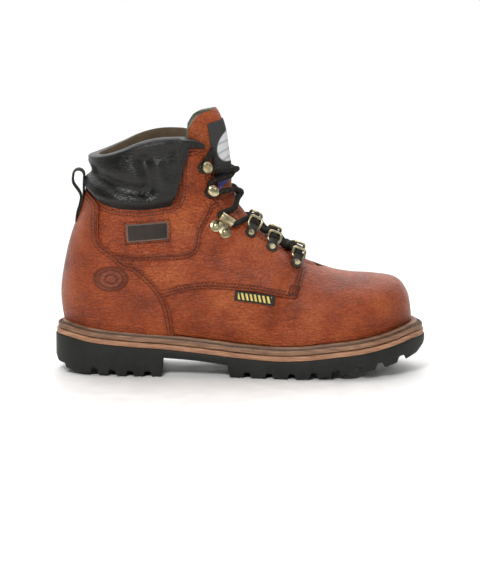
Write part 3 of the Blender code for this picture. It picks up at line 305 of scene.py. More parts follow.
@dataclass
class Last:
    """The form inside the boot, from which every soft piece takes its place."""

    sole_length: float = 0.314
    ball_width: float = 0.098
    heel_height: float = 0.044
    shaft_rise: float = 0.158
    back: float = 0.0105
    length: float = 0.2918
    heel_round: float = 0.12
    toe_round: float = 0.2
    split: float = 0.4
    bulge: float = 1.03
    heel_row: int = 16
    throat: float = 6.0
    throat_end: float = 6.6

    def __post_init__(self) -> None:
        """Works out the tables and the boot's place in the model's frame."""
        self.rows = np.array(SECTIONS)
        self.knots = np.arange(len(SECTIONS), dtype=float)
        self.top_row = float(len(SECTIONS) - 1)
        stops = self.back - OUTSOLE_OUT.heel + self.sole_length * np.linspace(0.0, 1.0, 400)
        reach = [float(np.max(self.half_width(stops, side, OUTSOLE_OUT))) for side in Side]
        self.origin = Vector((-self.sole_length / 2, (reach[0] - reach[1]) / 2, 0.0))

    def along(self, share: Array) -> Array:
        """The x of a share of the last's length."""
        return self.back + self.length * np.asarray(share, float)

    def above(self, share: Array) -> Array:
        """The z of a share of the shaft's rise."""
        return self.heel_height + self.shaft_rise * np.asarray(share, float)

    def half_width(self, x: Array, side: Side, margin: Margin = NO_MARGIN) -> Array:
        """Half the width of the plan at x, with a margin round it."""
        long = self.length + margin.heel + margin.toe
        at = np.clip((np.asarray(x, float) - self.back + margin.heel) / long, 0.0, 1.0)
        column = 1 if side is Side.LATERAL else 2
        full = self.ball_width * read(PLANFORM, at, column) + margin.side
        heel = np.clip((self.heel_round - at) / self.heel_round, 0.0, 1.0)
        toe = np.clip((at - 1 + self.toe_round) / self.toe_round, 0.0, 1.0)
        return full * np.sqrt(1 - heel**2) * np.sqrt(1 - toe**2)

    def halves(self, x: Array, margin: Margin) -> tuple:
        """Half the width of a plan at x on the lateral and on the medial side."""
        return self.half_width(x, Side.LATERAL, margin), self.half_width(x, Side.MEDIAL, margin)

    def feather(self, x: Array) -> Array:
        """Height of the line where the upper meets the welt."""
        return self.heel_height * read(FEATHER, (np.asarray(x, float) - self.back) / self.length)

    def column(self, index: int, v: Array) -> Array:
        """One column of the sections as a smooth curve."""
        return smooth(self.knots, self.rows[:, index], v)

    def ends(self, v: Array) -> tuple:
        """Bottom and top of section v seen from the side, as x, z, x, z."""
        low_x = self.along(self.column(0, v))
        low_z = np.where(v <= self.heel_row, self.feather(low_x), self.above(self.column(1, v)))
        return low_x, low_z, self.along(self.column(2, v)), self.above(self.column(3, v))

    def shape(self, v: Array, side: Side) -> tuple:
        """Half width, start angle, waist and crown of section v."""
        low_x = self.ends(v)[0]
        low = np.where(v < self.heel_row, self.half_width(low_x, side), 0.0)
        index = 4 if side is Side.LATERAL else 5
        free = np.clip(self.ball_width * self.column(index, v), 0.0, None)
        wide = (free**6 + (self.bulge * low) ** 6) ** (1 / 6)
        start = np.arcsin(np.clip(low / np.maximum(wide, 1e-9), 0.0, 1 / self.bulge))
        return wide, start, self.column(6, v), self.column(7, v)

    def surface(self, s: Array, v: Array, side: Side) -> Array:
        """Points of the form at the share s round section v."""
        low_x, low_z, top_x, top_z = self.ends(v)
        wide, start, waist, crown = self.shape(v, side)
        turn = start + (math.pi / 2 - start) * np.clip(s / self.split, 0.0, 1.0)
        angle = math.pi / 2 * np.clip((s - self.split) / (1 - self.split), 0.0, 1.0)
        low_reach = waist * (np.cos(start) - np.cos(turn)) / np.cos(start)
        reach = low_reach + (1 - waist) * np.sin(angle) ** (2 / crown)
        over = wide * np.maximum(np.cos(angle), 0.0) ** (2 / crown)
        half = np.where(s < self.split, wide * np.sin(turn), over)
        half = np.where(s >= 1, 0.0, half)
        x = low_x + reach * (top_x - low_x)
        z = low_z + reach * (top_z - low_z)
        return np.stack([x, side.sign * half + 0 * x, z], axis=-1)

    def normal(self, s: Array, v: Array, side: Side) -> Array:
        """Outward unit normals of the form."""
        step_s, step_v = 0.004, 0.02
        s_in = np.clip(s, 0.012, 0.985)
        v_in = np.clip(v, 0.12, self.top_row - 0.05)
        round_it = self.surface(s_in + step_s, v_in, side) - self.surface(s_in - step_s, v_in, side)
        up_it = self.surface(s_in, v_in + step_v, side) - self.surface(s_in, v_in - step_v, side)
        made = np.cross(round_it, up_it)
        low_x, low_z, top_x, top_z = self.ends(v_in)
        inside = np.stack([(low_x + top_x) / 2, 0 * low_x, (low_z + top_z) / 2], axis=-1)
        outward = np.sum(made * (self.surface(s_in, v_in, side) - inside), axis=-1, keepdims=True)
        made = made * np.where(outward < 0, -1.0, 1.0)
        middle = (s >= 1) | ((s <= 0) & (v >= self.heel_row)) | (v <= 0)
        made[..., 1] = np.where(middle, 0.0, made[..., 1])
        return made / np.linalg.norm(made, axis=-1, keepdims=True)

    def point(self, s: Array, v: Array, side: Side, lift: Array = 0.0) -> Array:
        """Points of the form moved outward along its normals."""
        s, v = np.broadcast_arrays(np.asarray(s, float), np.asarray(v, float))
        lift = np.broadcast_to(np.asarray(lift, float), s.shape)[..., None]
        return self.surface(s, v, side) + lift * self.normal(s, v, side)

    def share_of_reach(self, reach: Array, v: Array, side: Side) -> Array:
        """The share round section v at which it has this reach."""
        wide, start, waist, crown = self.shape(v, side)
        turn = np.arccos(np.clip(np.cos(start) * (1 - reach / waist), -1.0, 1.0))
        low = self.split * (turn - start) / (math.pi / 2 - start)
        rest = np.clip((reach - waist) / (1 - waist), 0.0, 1.0)
        high = self.split + (1 - self.split) * np.arcsin(rest ** (crown / 2)) / (math.pi / 2)
        return np.where(reach < waist, low, high)

    def locate(self, x: Array, z: Array, side: Side) -> tuple:
        """The share s and the section v of points seen from the side."""
        x, z = np.asarray(x, float), np.asarray(z, float)

        def ahead(v: Array) -> Array:
            low_x, low_z, top_x, top_z = self.ends(v)
            return (top_x - low_x) * (low_z - z) - (top_z - low_z) * (low_x - x)

        v = solve(ahead, 0.0 * x, 0.0 * x + self.top_row)
        low_x, low_z, top_x, top_z = self.ends(v)
        long_x, long_z = top_x - low_x, top_z - low_z
        reach = ((x - low_x) * long_x + (z - low_z) * long_z) / (long_x**2 + long_z**2)
        return self.share_of_reach(np.clip(reach, 0.0, 1.0), v, side), v

    def facing(self, v: Array, side: Side) -> Array:
        """The share round section v at which the facing ends, 1 below the throat."""
        v = np.asarray(v, float)
        lined = np.maximum(v, self.throat_end)
        low_x, low_z, top_x, top_z = self.ends(lined)

        def past(reach: Array) -> Array:
            x = low_x + reach * (top_x - low_x)
            height = (low_z + reach * (top_z - low_z) - self.heel_height) / self.shaft_rise
            return x - self.along(read(FACING, height))

        reach = solve(past, 0.3 + 0 * lined, 1.0 + 0 * lined)
        cut = past(1.0 + 0 * lined) > 0
        full = np.where(cut, self.share_of_reach(reach, lined, side), 1.0)
        open_share = np.clip((v - self.throat) / (self.throat_end - self.throat), 0.0, 1.0)
        return 1 + (full - 1) * open_share

    def rim(self, s: Array, side: Side, drop: float = 0.0) -> Array:
        """The section at which the column s meets the collar's rim, less a drop."""
        def over(v: Array) -> Array:
            point = self.surface(s, v, side)
            return point[..., 2] - self.above(read(RIM, (point[..., 0] - self.back) / self.length)) + drop

        return solve(over, self.heel_row + 1 + 0 * s, self.top_row + 0 * s)

    def shares(self, side: Side, rows: Array, columns: int, drop: float) -> tuple:
        """The s and v of the vertices of one half of the upper."""
        share = np.linspace(0.0, 1.0, columns)
        flat = np.repeat(rows[:, None], columns, axis=1)
        s = share[None, :] * self.facing(rows, side)[:, None]
        v = flat
        start = self.heel_row + 1
        for _ in range(3):
            top = self.rim(s, side, drop)
            stretched = start + (flat - start) * (top - start) / (self.top_row - start)
            v = np.where(flat > start, stretched, flat)
            s = share[None, :] * self.facing(v.ravel(), side).reshape(v.shape)
        return s, v

    def find(self, mark: Mark, side: Side) -> tuple:
        """The share s and the section v of a mark."""
        return self.locate(self.along([mark.at]), self.above([mark.height]), side)

    def seat(self, mark: Mark, side: Side, lift: float) -> Matrix:
        """A place on the surface: local y to the ridge, local z outward, x along the shaft."""
        s, v = self.find(mark, side)
        spot = self.point(s, v, side, lift)[0]
        outward = Vector(self.normal(s, v, side)[0])
        ahead = Vector(self.point(s + 0.02, v, side)[0] - self.point(s - 0.02, v, side)[0])
        ahead = (ahead - ahead.dot(outward) * outward).normalized()
        turned = Matrix((ahead.cross(outward), ahead, outward)).transposed().to_4x4()
        return Matrix.Translation(Vector(spot)) @ turned


LAST = Last()


def side_curve(marks: Sequence[tuple], pieces: int = 8) -> Array:
    """Side points, as x and z, on a smooth curve through some marks."""
    table = np.array(marks)
    knots = np.arange(len(table), dtype=float)
    at = np.linspace(0.0, len(table) - 1, (len(table) - 1) * pieces + 1)
    x = LAST.along(smooth(knots, table[:, 0], at))
    z = LAST.above(smooth(knots, table[:, 1], at))
    return np.stack([x, z], axis=1)


def shifted(line: Array, offset: float) -> Array:
    """A side curve moved to the left of its run by an offset."""
    ahead = np.gradient(line, axis=0)
    ahead = ahead / np.maximum(np.linalg.norm(ahead, axis=1, keepdims=True), 1e-9)
    return line + offset * np.stack([-ahead[:, 1], ahead[:, 0]], axis=1)


# Meshes


def as_mesh(shape: Shape, name: str = "part") -> Mesh:
    """A mesh from a bmesh, which is freed."""
    mesh = bpy.data.meshes.new(name)
    shape.to_mesh(mesh)
    shape.free()
    return mesh


def places_of(mesh: Mesh) -> Array:
    """A mesh's vertices as an array."""
    flat = np.empty(len(mesh.vertices) * 3)
    mesh.vertices.foreach_get("co", flat)
    return flat.reshape(-1, 3)


def add_pattern(mesh: Mesh, uv: Array) -> None:
    """Gives a mesh pattern coordinates, one pair for each vertex."""
    corner = np.empty(len(mesh.loops), int)
    mesh.loops.foreach_get("vertex_index", corner)
    mesh.uv_layers.new(name="pattern").data.foreach_set("uv", uv[corner].ravel())


def plain_edge(points: Array) -> dict:
    """The edge value of a sheet that is far from any cut edge."""
    return {"edge": np.full(points.shape[:2], PLAIN_EDGE)}


def grid_mesh(points: Array, uv: Optional[Array] = None, values: Optional[dict] = None) -> Mesh:
    """A grid of faces on an array of points, with pattern coordinates and named numbers for each."""
    rows, columns = points.shape[:2]
    shape = bmesh.new()
    bmesh.ops.create_grid(shape, x_segments=columns - 1, y_segments=rows - 1, size=0.5)
    mesh = as_mesh(shape)
    flat = places_of(mesh)
    column = np.rint((flat[:, 0] + 0.5) * (columns - 1)).astype(int)
    row = np.rint((flat[:, 1] + 0.5) * (rows - 1)).astype(int)
    mesh.vertices.foreach_set("co", points[row, column].ravel())
    for name, value in (values or {}).items():
        mesh.attributes.new(name, "FLOAT", "POINT").data.foreach_set("value", value[row, column])
    if uv is not None:
        add_pattern(mesh, uv[row, column])
    mesh.update()
    return mesh


def joined(meshes: Sequence[Mesh], weld: float = CLOSE) -> Shape:
    """One bmesh from several meshes, welded where they share points."""
    shape = bmesh.new()
    for mesh in meshes:
        shape.from_mesh(mesh)
    if weld:
        bmesh.ops.remove_doubles(shape, verts=shape.verts, dist=weld)
        bmesh.ops.dissolve_degenerate(shape, edges=shape.edges, dist=weld / 2)
        bmesh.ops.recalc_face_normals(shape, faces=shape.faces)
    return shape


def close_holes(shape: Shape) -> None:
    """Fills a bmesh's open ends."""
    bmesh.ops.holes_fill(shape, edges=shape.edges, sides=0)
    bmesh.ops.recalc_face_normals(shape, faces=shape.faces)


def linked(name: str, data: bpy.types.ID) -> Piece:
    """A new object in the scene."""
    made = bpy.data.objects.new(name, data)
    bpy.context.scene.collection.objects.link(made)
    return made


def finish_piece(
    name: str, shape: Shape, looks: Sequence[Look], replaced: Sequence[str] = ()
) -> Piece:
    """Turns a bmesh in the boot's frame into a piece in the model's, which stands for CAD nodes."""
    bmesh.ops.translate(shape, verts=shape.verts, vec=LAST.origin)
    mesh = as_mesh(shape, name)
    mesh.shade_smooth()
    made = linked(name, mesh)
    for look in looks:
        mesh.materials.append(look)
    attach(made, "root")
    if replaced:
        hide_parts(*replaced)
    LOG.info("%s: %d faces", name, len(mesh.polygons))
    return made


def face_along(made: Piece, toward: Callable, outward: bool = True) -> None:
    """Turns a sheet so that its faces go with the direction at their centres, or against it."""
    total = sum(face.normal.dot(toward(face.center)) * face.area for face in made.data.polygons)
    if (total > 0) != outward:
        made.data.flip_normals()


def from_core(centre: Vector) -> Vector:
    """From the boot's core line, 100 mm up, to a face."""
    away = centre - LAST.origin
    return Vector((0.0, away.y, away.z - 0.1))


def from_shaft(centre: Vector) -> Vector:
    """From the shaft's middle to a face at the same height."""
    return centre - Vector((-0.075, 0.0, centre.z))


def ahead_and_up(_: Vector) -> Vector:
    """Forward and up, at every face."""
    return Vector((1.0, 0.0, 1.0))


def thicken(made: Piece, thickness: float, inside: int = 0, rim: int = 0) -> None:
    """Gives a sheet a wall on its inner side."""
    wall = made.modifiers.new("wall", "SOLIDIFY")
    wall.thickness = thickness
    wall.offset = -1.0
    wall.material_offset = inside
    wall.material_offset_rim = rim


def round_edges(made: Piece, width: float, segments: int = 3) -> None:
    """Rounds the sharp edges of a piece."""
    edge = made.modifiers.new("edge", "BEVEL")
    edge.width = width
    edge.segments = segments
    edge.limit_method = "ANGLE"
    edge.angle_limit = BEVEL_ANGLE
    edge.harden_normals = False


def sharp_by_angle(made: Piece, angle: float) -> None:
    """Keeps the shading crisp over the mesh's sharp edges."""
    made.data.set_sharp_from_angle(angle=math.radians(angle))


def tube_mesh(centres: Array, radius: Array, sides: int = 10, closed: bool = False) -> Mesh:
    """A round tube along a line of centres, whose pattern runs round it and along it.

    The radius is one for all or one for each centre, and a closed line's ends meet.
    """
    count = len(centres)
    radius = np.broadcast_to(np.asarray(radius, float), (count,))
    if closed:
        ahead = np.roll(centres, -1, axis=0) - np.roll(centres, 1, axis=0)
    else:
        ahead = np.gradient(centres, axis=0)
    ahead = ahead / np.maximum(np.linalg.norm(ahead, axis=1, keepdims=True), 1e-12)
    up = Vector(ahead[0]).orthogonal().normalized()
    ups = []
    for k in range(count):
        forward = Vector(ahead[k])
        up = (up - up.dot(forward) * forward).normalized()
        ups.append(tuple(up))
    ups = np.array(ups)
    across = np.cross(ahead, ups)
    turn = np.linspace(0.0, 2 * math.pi, sides + 1)
    cosine, sine = np.cos(turn)[None, :, None], np.sin(turn)[None, :, None]
    around = cosine * ups[:, None, :] + sine * across[:, None, :]
    points = centres[:, None, :] + radius[:, None, None] * around
    run = run_of(centres)
    u = np.repeat((turn / (2 * math.pi))[None, :], count, axis=0)
    uv = np.stack([u, np.repeat(run[:, None], sides + 1, axis=1)], axis=2)
    if closed:
        step = np.linalg.norm(centres[0] - centres[-1])
        uv = np.concatenate([uv, uv[:1] + np.array([0.0, run[-1] + step])])
        points = np.concatenate([points, points[:1]])
    return grid_mesh(points, uv)


def dab(shape: Shape, template: Mesh, place: Matrix, offset: tuple = (0.0, 0.0, 0.0)) -> None:
    """Adds a copy of a small mesh at an offset from a place."""
    place = place @ Matrix.Translation(offset)
    shape.from_mesh(template)
    shape.verts.ensure_lookup_table()
    for vertex in shape.verts[-len(template.vertices) :]:
        vertex.co = place @ vertex.co


def revolved(profile: Sequence[tuple], segments: int = 28) -> Mesh:
    """A turned shape: a profile of radius and height spun about local z."""
    shape = bmesh.new()
    verts = [shape.verts.new((radius, 0.0, height)) for radius, height in profile]
    edges = [shape.edges.new(pair) for pair in zip(verts, verts[1:])]
    bmesh.ops.spin(
        shape, geom=verts + edges, cent=(0, 0, 0), axis=(0, 0, 1), angle=2 * math.pi, steps=segments,
        use_merge=True
    )
    bmesh.ops.remove_doubles(shape, verts=shape.verts, dist=0.000005)
    close_holes(shape)
    return as_mesh(shape)


def disc(top: float, flat: float, wide: float, edge: float, low: float) -> Mesh:
    """A flat disc whose top slopes from its flat radius down to the edge's height."""
    return revolved([(0.0, top), (flat, top), (wide, edge), (wide, low), (0.0, low)])


def bent_strip(line: Sequence[tuple], width: float, thickness: float) -> Mesh:
    """A bent strip: a smooth line of y and z drawn out along x, with rounded edges."""
    curve = through(np.array(line), 8 * len(line))
    shape = bmesh.new()
    verts = [shape.verts.new((-width / 2, y, z)) for y, z in curve]
    edges = [shape.edges.new(pair) for pair in zip(verts, verts[1:])]
    drawn = bmesh.ops.extrude_edge_only(shape, edges=edges)
    moved = [part for part in drawn["geom"] if isinstance(part, bmesh.types.BMVert)]
    bmesh.ops.translate(shape, verts=moved, vec=(width, 0.0, 0.0))
    bmesh.ops.recalc_face_normals(shape, faces=shape.faces)
    bmesh.ops.solidify(shape, geom=shape.faces, thickness=thickness)
    sharp = [edge for edge in shape.edges if edge.calc_face_angle(0.0) > math.radians(60)]
    bmesh.ops.bevel(
        shape, geom=sharp, offset=thickness * 0.3, offset_type="OFFSET", segments=2, profile=0.5,
        affect="EDGES", material=-1
    )
    bmesh.ops.recalc_face_normals(shape, faces=shape.faces)
    return as_mesh(shape)


@dataclass
class Stitching:
    """Rows of thread over a seam."""

    pitch: float = 0.0031
    length: float = 0.0025
    radius: float = 0.00036

    def template(self) -> Mesh:
        """One stitch along local x, on the surface at local z 0."""
        shape = bmesh.new()
        bmesh.ops.create_uvsphere(shape, u_segments=6, v_segments=5, radius=1.0)
        bmesh.ops.rotate(
            shape, verts=shape.verts, cent=(0, 0, 0), matrix=Matrix.Rotation(math.pi / 2, 3, "Y")
        )
        bmesh.ops.scale(shape, verts=shape.verts, vec=(self.length / 2, self.radius * 1.25, self.radius))
        return as_mesh(shape)

    def lay(self, shape: Shape, points: Array, normals: Array) -> None:
        """Adds stitches to a bmesh along a run of points with outward normals."""
        run = run_of(points)
        if run[-1] < self.pitch:
            return
        at = np.arange(self.pitch / 2, run[-1], self.pitch)
        small = self.template()
        reach = self.length / 2
        for middle in at:
            spot, up = vector_at(run, points, middle), vector_at(run, normals, middle)
            back, front = vector_at(run, points, middle - reach), vector_at(run, points, middle + reach)
            ahead = (front - back).normalized()
            up = (up - up.dot(ahead) * ahead).normalized()
            turned = Matrix((ahead, up.cross(ahead), up)).transposed().to_4x4()
            dab(shape, small, Matrix.Translation(spot + up * (self.radius * 0.35)) @ turned)


def vector_at(run: Array, table: Array, at: float) -> Vector:
    """A row of a table at a distance along its run."""
    return Vector([np.interp(at, run, table[:, k]) for k in range(3)])


def seam_run(line: Array, side: Side, lift: float) -> tuple:
    """A side curve laid on the form: its points and normals."""
    s, v = LAST.locate(line[:, 0], line[:, 1], side)
    return LAST.point(s, v, side, lift), LAST.normal(s, v, side)


# Finishes


def linear(colour: str) -> tuple:
    """An sRGB hex colour as linear red, green, blue and alpha."""
    parts = [int(colour[k : k + 2], 16) / 255 for k in (1, 3, 5)]
    return (*[p / 12.92 if p <= 0.04045 else ((p + 0.055) / 1.055) ** 2.4 for p in parts], 1.0)


def node(tree, kind: str, settings: Optional[dict] = None, links: Optional[dict] = None, **facts):
    """Adds a node with values and links for its inputs and facts about itself."""
    made = tree.nodes.new(kind)
    for key, value in facts.items():
        setattr(made, key, value)
    for key, value in (settings or {}).items():
        made.inputs[key].default_value = value
    for key, source in (links or {}).items():
        tree.links.new(source, made.inputs[key])
    return made


def ramp(tree, source, stops: Sequence[tuple]):
    """A colour ramp over an output, from pairs of position and hex colour or grey."""
    made = node(tree, "ShaderNodeValToRGB", links={"Fac": source})
    spots = made.color_ramp.elements
    while len(spots) < len(stops):
        spots.new(0.5)
    for spot, (position, colour) in zip(spots, stops):
        spot.position = position
        spot.color = (colour, colour, colour, 1.0) if isinstance(colour, float) else linear(colour)
    return made.outputs["Color"]


class Graph:
    """A new material's node tree, its shader's inputs and its Object coordinates."""

    def __init__(self, name: str) -> None:
        """Makes the material."""
        self.look = bpy.data.materials.new(name)
        self.look.use_nodes = True
        self.tree = self.look.node_tree
        self.inputs = self.tree.nodes["Principled BSDF"].inputs
        self.place = self.node("ShaderNodeTexCoord").outputs["Object"]

    def node(self, kind: str, settings: Optional[dict] = None, links: Optional[dict] = None, **facts):
        """Adds a node to the tree."""
        return node(self.tree, kind, settings, links, **facts)

    def ramp(self, source, stops: Sequence[tuple]):
        """Adds a colour ramp to the tree."""
        return ramp(self.tree, source, stops)

    def drive(self, name: str, source) -> None:
        """Links an output to one of the shader's inputs."""
        self.tree.links.new(source, self.inputs[name])

    def hold(self, name: str, value: float) -> None:
        """Sets one of the shader's inputs."""
        self.inputs[name].default_value = value

    def split(self, vector) -> tuple:
        """The first two parts of a vector output."""
        parts = self.node("ShaderNodeSeparateXYZ", links={"Vector": vector}).outputs
        return parts["X"], parts["Y"]

    def pattern(self):
        """The piece's own pattern coordinates."""
        return self.node("ShaderNodeUVMap", uv_map="pattern").outputs["UV"]

    def attribute(self, name: str):
        """A number that the mesh carries."""
        return self.node("ShaderNodeAttribute", attribute_name=name).outputs["Fac"]

    def noise(self, place, size: float, detail: float = 3.0, rough: float = 0.55):
        """Noise whose features are about a size across, in metres."""
        settings = {"Scale": 1 / size, "Detail": detail, "Roughness": rough}
        return self.node("ShaderNodeTexNoise", settings, {"Vector": place}).outputs["Fac"]

    def math(self, operation: str, first, second=0.5, third=0.5):
        """One sum on outputs or numbers."""
        made = self.node("ShaderNodeMath", operation=operation)
        for index, value in enumerate((first, second, third)):
            if isinstance(value, (int, float)):
                made.inputs[index].default_value = value
            else:
                self.tree.links.new(value, made.inputs[index])
        return made.outputs[0]

    def times(self, first, second):
        """A product of outputs or numbers."""
        return self.math("MULTIPLY", first, second)

    def more(self, first, second, third):
        """A product with something added."""
        return self.math("MULTIPLY_ADD", first, second, third)

    def wave(self, source, pitch: float):
        """A sine of a length with this pitch, between -1 and 1."""
        return self.math("SINE", self.times(source, 2 * math.pi / pitch))

    def vector(self, operation: str, settings: Optional[dict], links: dict):
        """One sum on vector outputs."""
        return self.node("ShaderNodeVectorMath", settings, links, operation=operation)

    def mix(self, share, first, second, blend: str = "MIX"):
        """Two colours mixed by a share, each an output or a hex colour."""
        made = self.node("ShaderNodeMix", data_type="RGBA", blend_type=blend, clamp_factor=True)
        for key, value in (("Factor", share), ("A", first), ("B", second)):
            socket = [s for s in made.inputs if s.name == key and s.enabled][0]
            if isinstance(value, str):
                socket.default_value = linear(value)
            elif isinstance(value, (int, float)):
                socket.default_value = value
            else:
                self.tree.links.new(value, socket)
        return [s for s in made.outputs if s.enabled][0]


@dataclass(frozen=True)
class Finish:
    """What every finish has: a name, gloss, and how strongly its relief shows."""

    name: str
    roughness: float = 0.5
    relief: float = 0.5
    relief_depth: float = 0.0004

    def make(self) -> Look:
        """The material."""
        g = Graph(self.name)
        g.hold("Roughness", self.roughness)
        self.paint(g)
        return g.look

    def paint(self, g: Graph) -> None:
        """Draws the finish, which each kind does in its own way."""
        raise NotImplementedError

    def bump(self, g: Graph, height, strength: Optional[float] = None) -> None:
        """Adds relief to the shader from a height between 0 and 1."""
        settings = {
            "Strength": self.relief if strength is None else strength, "Distance": self.relief_depth
        }
        g.drive("Normal", g.node("ShaderNodeBump", settings, {"Height": height}).outputs["Normal"])


@dataclass(frozen=True)
class PebbledLeather(Finish):
    """Oiled full-grain cowhide, tumbled and lightly waxed.

    Fine pebbles about 1.3 mm across, with longer soft wrinkles, a colour that pulls
    up lighter where it is stretched, painted shade in the gaps between pebbles and
    along thin crease lines, and a colour darker towards the cut edges that is partly
    dirt and partly painted shade.
    """

    base: str = "#964019"
    light: str = "#C46A35"
    dark: str = "#48180A"
    pebble: float = 0.0013
    wrinkle: float = 0.0045
    crease_cell_size: float = 0.003
    coat: float = 0.03
    specular: float = 0.27
    stamp: bool = False

    def paint(self, g: Graph) -> None:
        """Draws the finish."""
        cells = g.node(
            "ShaderNodeTexVoronoi", {"Scale": 1 / self.pebble, "Smoothness": 0.6, "Randomness": 1.0},
            {"Vector": g.place}, feature="SMOOTH_F1"
        ).outputs["Distance"]
        pebbles = g.ramp(cells, [(0.15, 1.0), (0.75, 0.0)])
        stretch = g.node(
            "ShaderNodeMapping", {"Scale": (0.45, 1.0, 1.25), "Rotation": (0.0, math.radians(28), 0.0)},
            {"Vector": g.place}
        ).outputs["Vector"]
        folds = g.noise(stretch, self.wrinkle, 5.0, 0.68)
        drift = g.node("ShaderNodeTexNoise", {"Scale": 160.0, "Detail": 2.0}, {"Vector": stretch})
        spread = g.vector("SCALE", {"Scale": 0.0022}, {0: drift.outputs["Color"]})
        moved = g.vector("ADD", None, {0: stretch, 1: spread.outputs[0]})
        shaded_crease_lines = g.node(
            "ShaderNodeTexVoronoi", {"Scale": 1 / self.crease_cell_size}, {"Vector": moved.outputs[0]},
            feature="DISTANCE_TO_EDGE"
        ).outputs["Distance"]
        shaded_crease_lines = g.ramp(shaded_crease_lines, [(0.0, 1.0), (0.09, 0.35), (0.24, 0.0)])
        cloudy = g.noise(g.place, 0.034, 3.0, 0.55)
        fine = g.noise(g.place, 0.0034, 5.0, 0.65)
        edge = g.attribute("edge")
        tone = g.ramp(cloudy, [(0.34, self.dark), (0.5, self.base), (0.68, self.light)])
        tone = g.mix(0.46, self.base, tone)
        tone = g.mix(0.16, tone, g.ramp(folds, [(0.32, self.dark), (0.5, self.base), (0.66, self.light)]))
        speckle = g.ramp(fine, [(0.32, 0.26), (0.64, 0.78)])
        tone = g.mix(0.32, tone, speckle, "SOFT_LIGHT")
        # painted shade: the gaps between pebbles are darkened
        pebble_gap_shade = g.ramp(cells, [(0.25, 0.0), (0.85, 1.0)])
        tone = g.mix(g.times(pebble_gap_shade, 0.32), tone, self.dark)
        # painted shade: the thin crease lines are darkened
        tone = g.mix(g.times(shaded_crease_lines, 0.2), tone, self.dark)
        edge = g.times(edge, 1 / PLAIN_EDGE)
        # darker towards each panel's cut edge: partly dirt, partly painted shade
        rim = g.ramp(edge, [(0.0, 1.0), (0.09, 0.45), (0.7, 0.0)])
        tone = g.mix(g.times(rim, 0.62), tone, self.dark)
        sunk = g.ramp(edge, [(0.14, 1.0), (0.24, 0.25), (0.33, 0.75), (0.52, 0.2), (0.66, 1.0)])
        height = g.more(pebbles, 0.26, g.times(folds, 0.62))
        height = g.more(sunk, 0.7, height)
        height = g.more(shaded_crease_lines, -0.3, height)
        if self.stamp:
            where = g.pattern()
            centre = (-LAST.back - STAMP_CENTRE[0], -STAMP_CENTRE[1], 0.0)
            where = g.vector("ADD", {1: centre}, {0: where}).outputs[0]
            radii = (1 / STAMP_RADII[0], 1 / STAMP_RADII[1], 0.0)
            where = g.vector("MULTIPLY", {1: radii}, {0: where}).outputs[0]
            mark = g.vector("LENGTH", None, {0: where}).outputs["Value"]
            rings = g.ramp(
                mark,
                [
                    (0.0, 0.45), (0.1, 0.9), (0.26, 0.9), (0.33, 0.2), (0.4, 0.75), (0.62, 0.75),
                    (0.68, 0.1), (0.8, 0.8), (0.9, 0.1), (1.0, 1.0)
                ]
            )
            inside = g.ramp(mark, [(0.88, 1.0), (1.0, 0.0)])
            tone = g.mix(g.times(inside, 0.42), tone, "#6E4236")
            groove = g.math("SUBTRACT", 1.0, rings)
            tone = g.mix(g.times(groove, 0.55), tone, "#4A241A")
            height = g.more(rings, 1.3, height)
        g.drive("Base Color", tone)
        gloss = g.ramp(
            g.noise(g.place, 0.012, 3.0), [(0.3, self.roughness - 0.07), (0.7, self.roughness + 0.09)]
        )
        g.drive("Roughness", gloss)
        g.hold("Coat Weight", self.coat)
        g.hold("Coat Roughness", 0.3)
        g.hold("Specular IOR Level", self.specular)
        self.bump(g, height)


@dataclass(frozen=True)
class MouldedRubber(Finish):
    """Vulcanised nitrile rubber: near black, matt, with mould haze and floor dust."""

    colour: str = "#161715"
    haze: str = "#262724"
    grit: float = 0.0009

    def paint(self, g: Graph) -> None:
        """Draws the finish."""
        cloudy = g.noise(g.place, 0.018, 4.0, 0.6)
        fine = g.noise(g.place, self.grit, 2.0, 0.5)
        tone = g.ramp(cloudy, [(0.35, self.colour), (0.72, self.haze)])
        g.drive("Base Color", tone)
        gloss = g.ramp(cloudy, [(0.3, self.roughness - 0.08), (0.7, self.roughness + 0.1)])
        g.drive("Roughness", gloss)
        g.hold("Specular IOR Level", 0.3)
        self.bump(g, g.more(fine, 0.4, cloudy))


@dataclass(frozen=True)
class LeatherBoard(Finish):
    """Compressed leather board, trimmed and edge dressed: long fibres along the edge."""

    colour: str = "#A68066"
    dark: str = "#8C694F"
    light: str = "#C29C7E"
    groove: str = "#2E1E15"
    layer: float = 0.0016

    def paint(self, g: Graph) -> None:
        """Draws the finish."""
        long = g.node(
            "ShaderNodeMapping", {"Scale": (0.1, 0.1, 1.0)}, {"Vector": g.place}
        ).outputs["Vector"]
        fibres = g.noise(long, self.layer, 4.0, 0.6)
        blotch = g.noise(g.place, 0.011, 3.0, 0.6)
        grain = g.noise(g.place, 0.0011, 2.0, 0.5)
        tone = g.ramp(fibres, [(0.32, self.dark), (0.52, self.colour), (0.72, self.light)])
        tone = g.mix(0.45, tone, g.ramp(blotch, [(0.3, self.dark), (0.7, self.light)]), "SOFT_LIGHT")
        groove = g.attribute("groove")
        tone = g.mix(g.times(groove, 0.75), tone, self.groove)
        g.drive("Base Color", tone)
        self.bump(g, g.more(grain, 0.6, fibres))


@dataclass(frozen=True)
class AntiqueBrass(Finish):
    """Brass-plated steel, tumbled: warm and bright on its crowns, brown in its hollows."""

    bright: str = "#C2B794"
    tarnish: str = "#857A5A"

    def paint(self, g: Graph) -> None:
        """Draws the finish."""
        g.hold("Metallic", 1.0)
        worn = g.noise(g.place, 0.006, 4.0, 0.6)
        fine = g.noise(g.place, 0.0007, 2.0, 0.5)
        tone = g.ramp(worn, [(0.34, self.tarnish), (0.58, self.bright)])
        g.drive("Base Color", tone)
        gloss = g.ramp(worn, [(0.35, self.roughness + 0.14), (0.65, self.roughness)])
        g.drive("Roughness", gloss)
        self.bump(g, fine, 0.06)


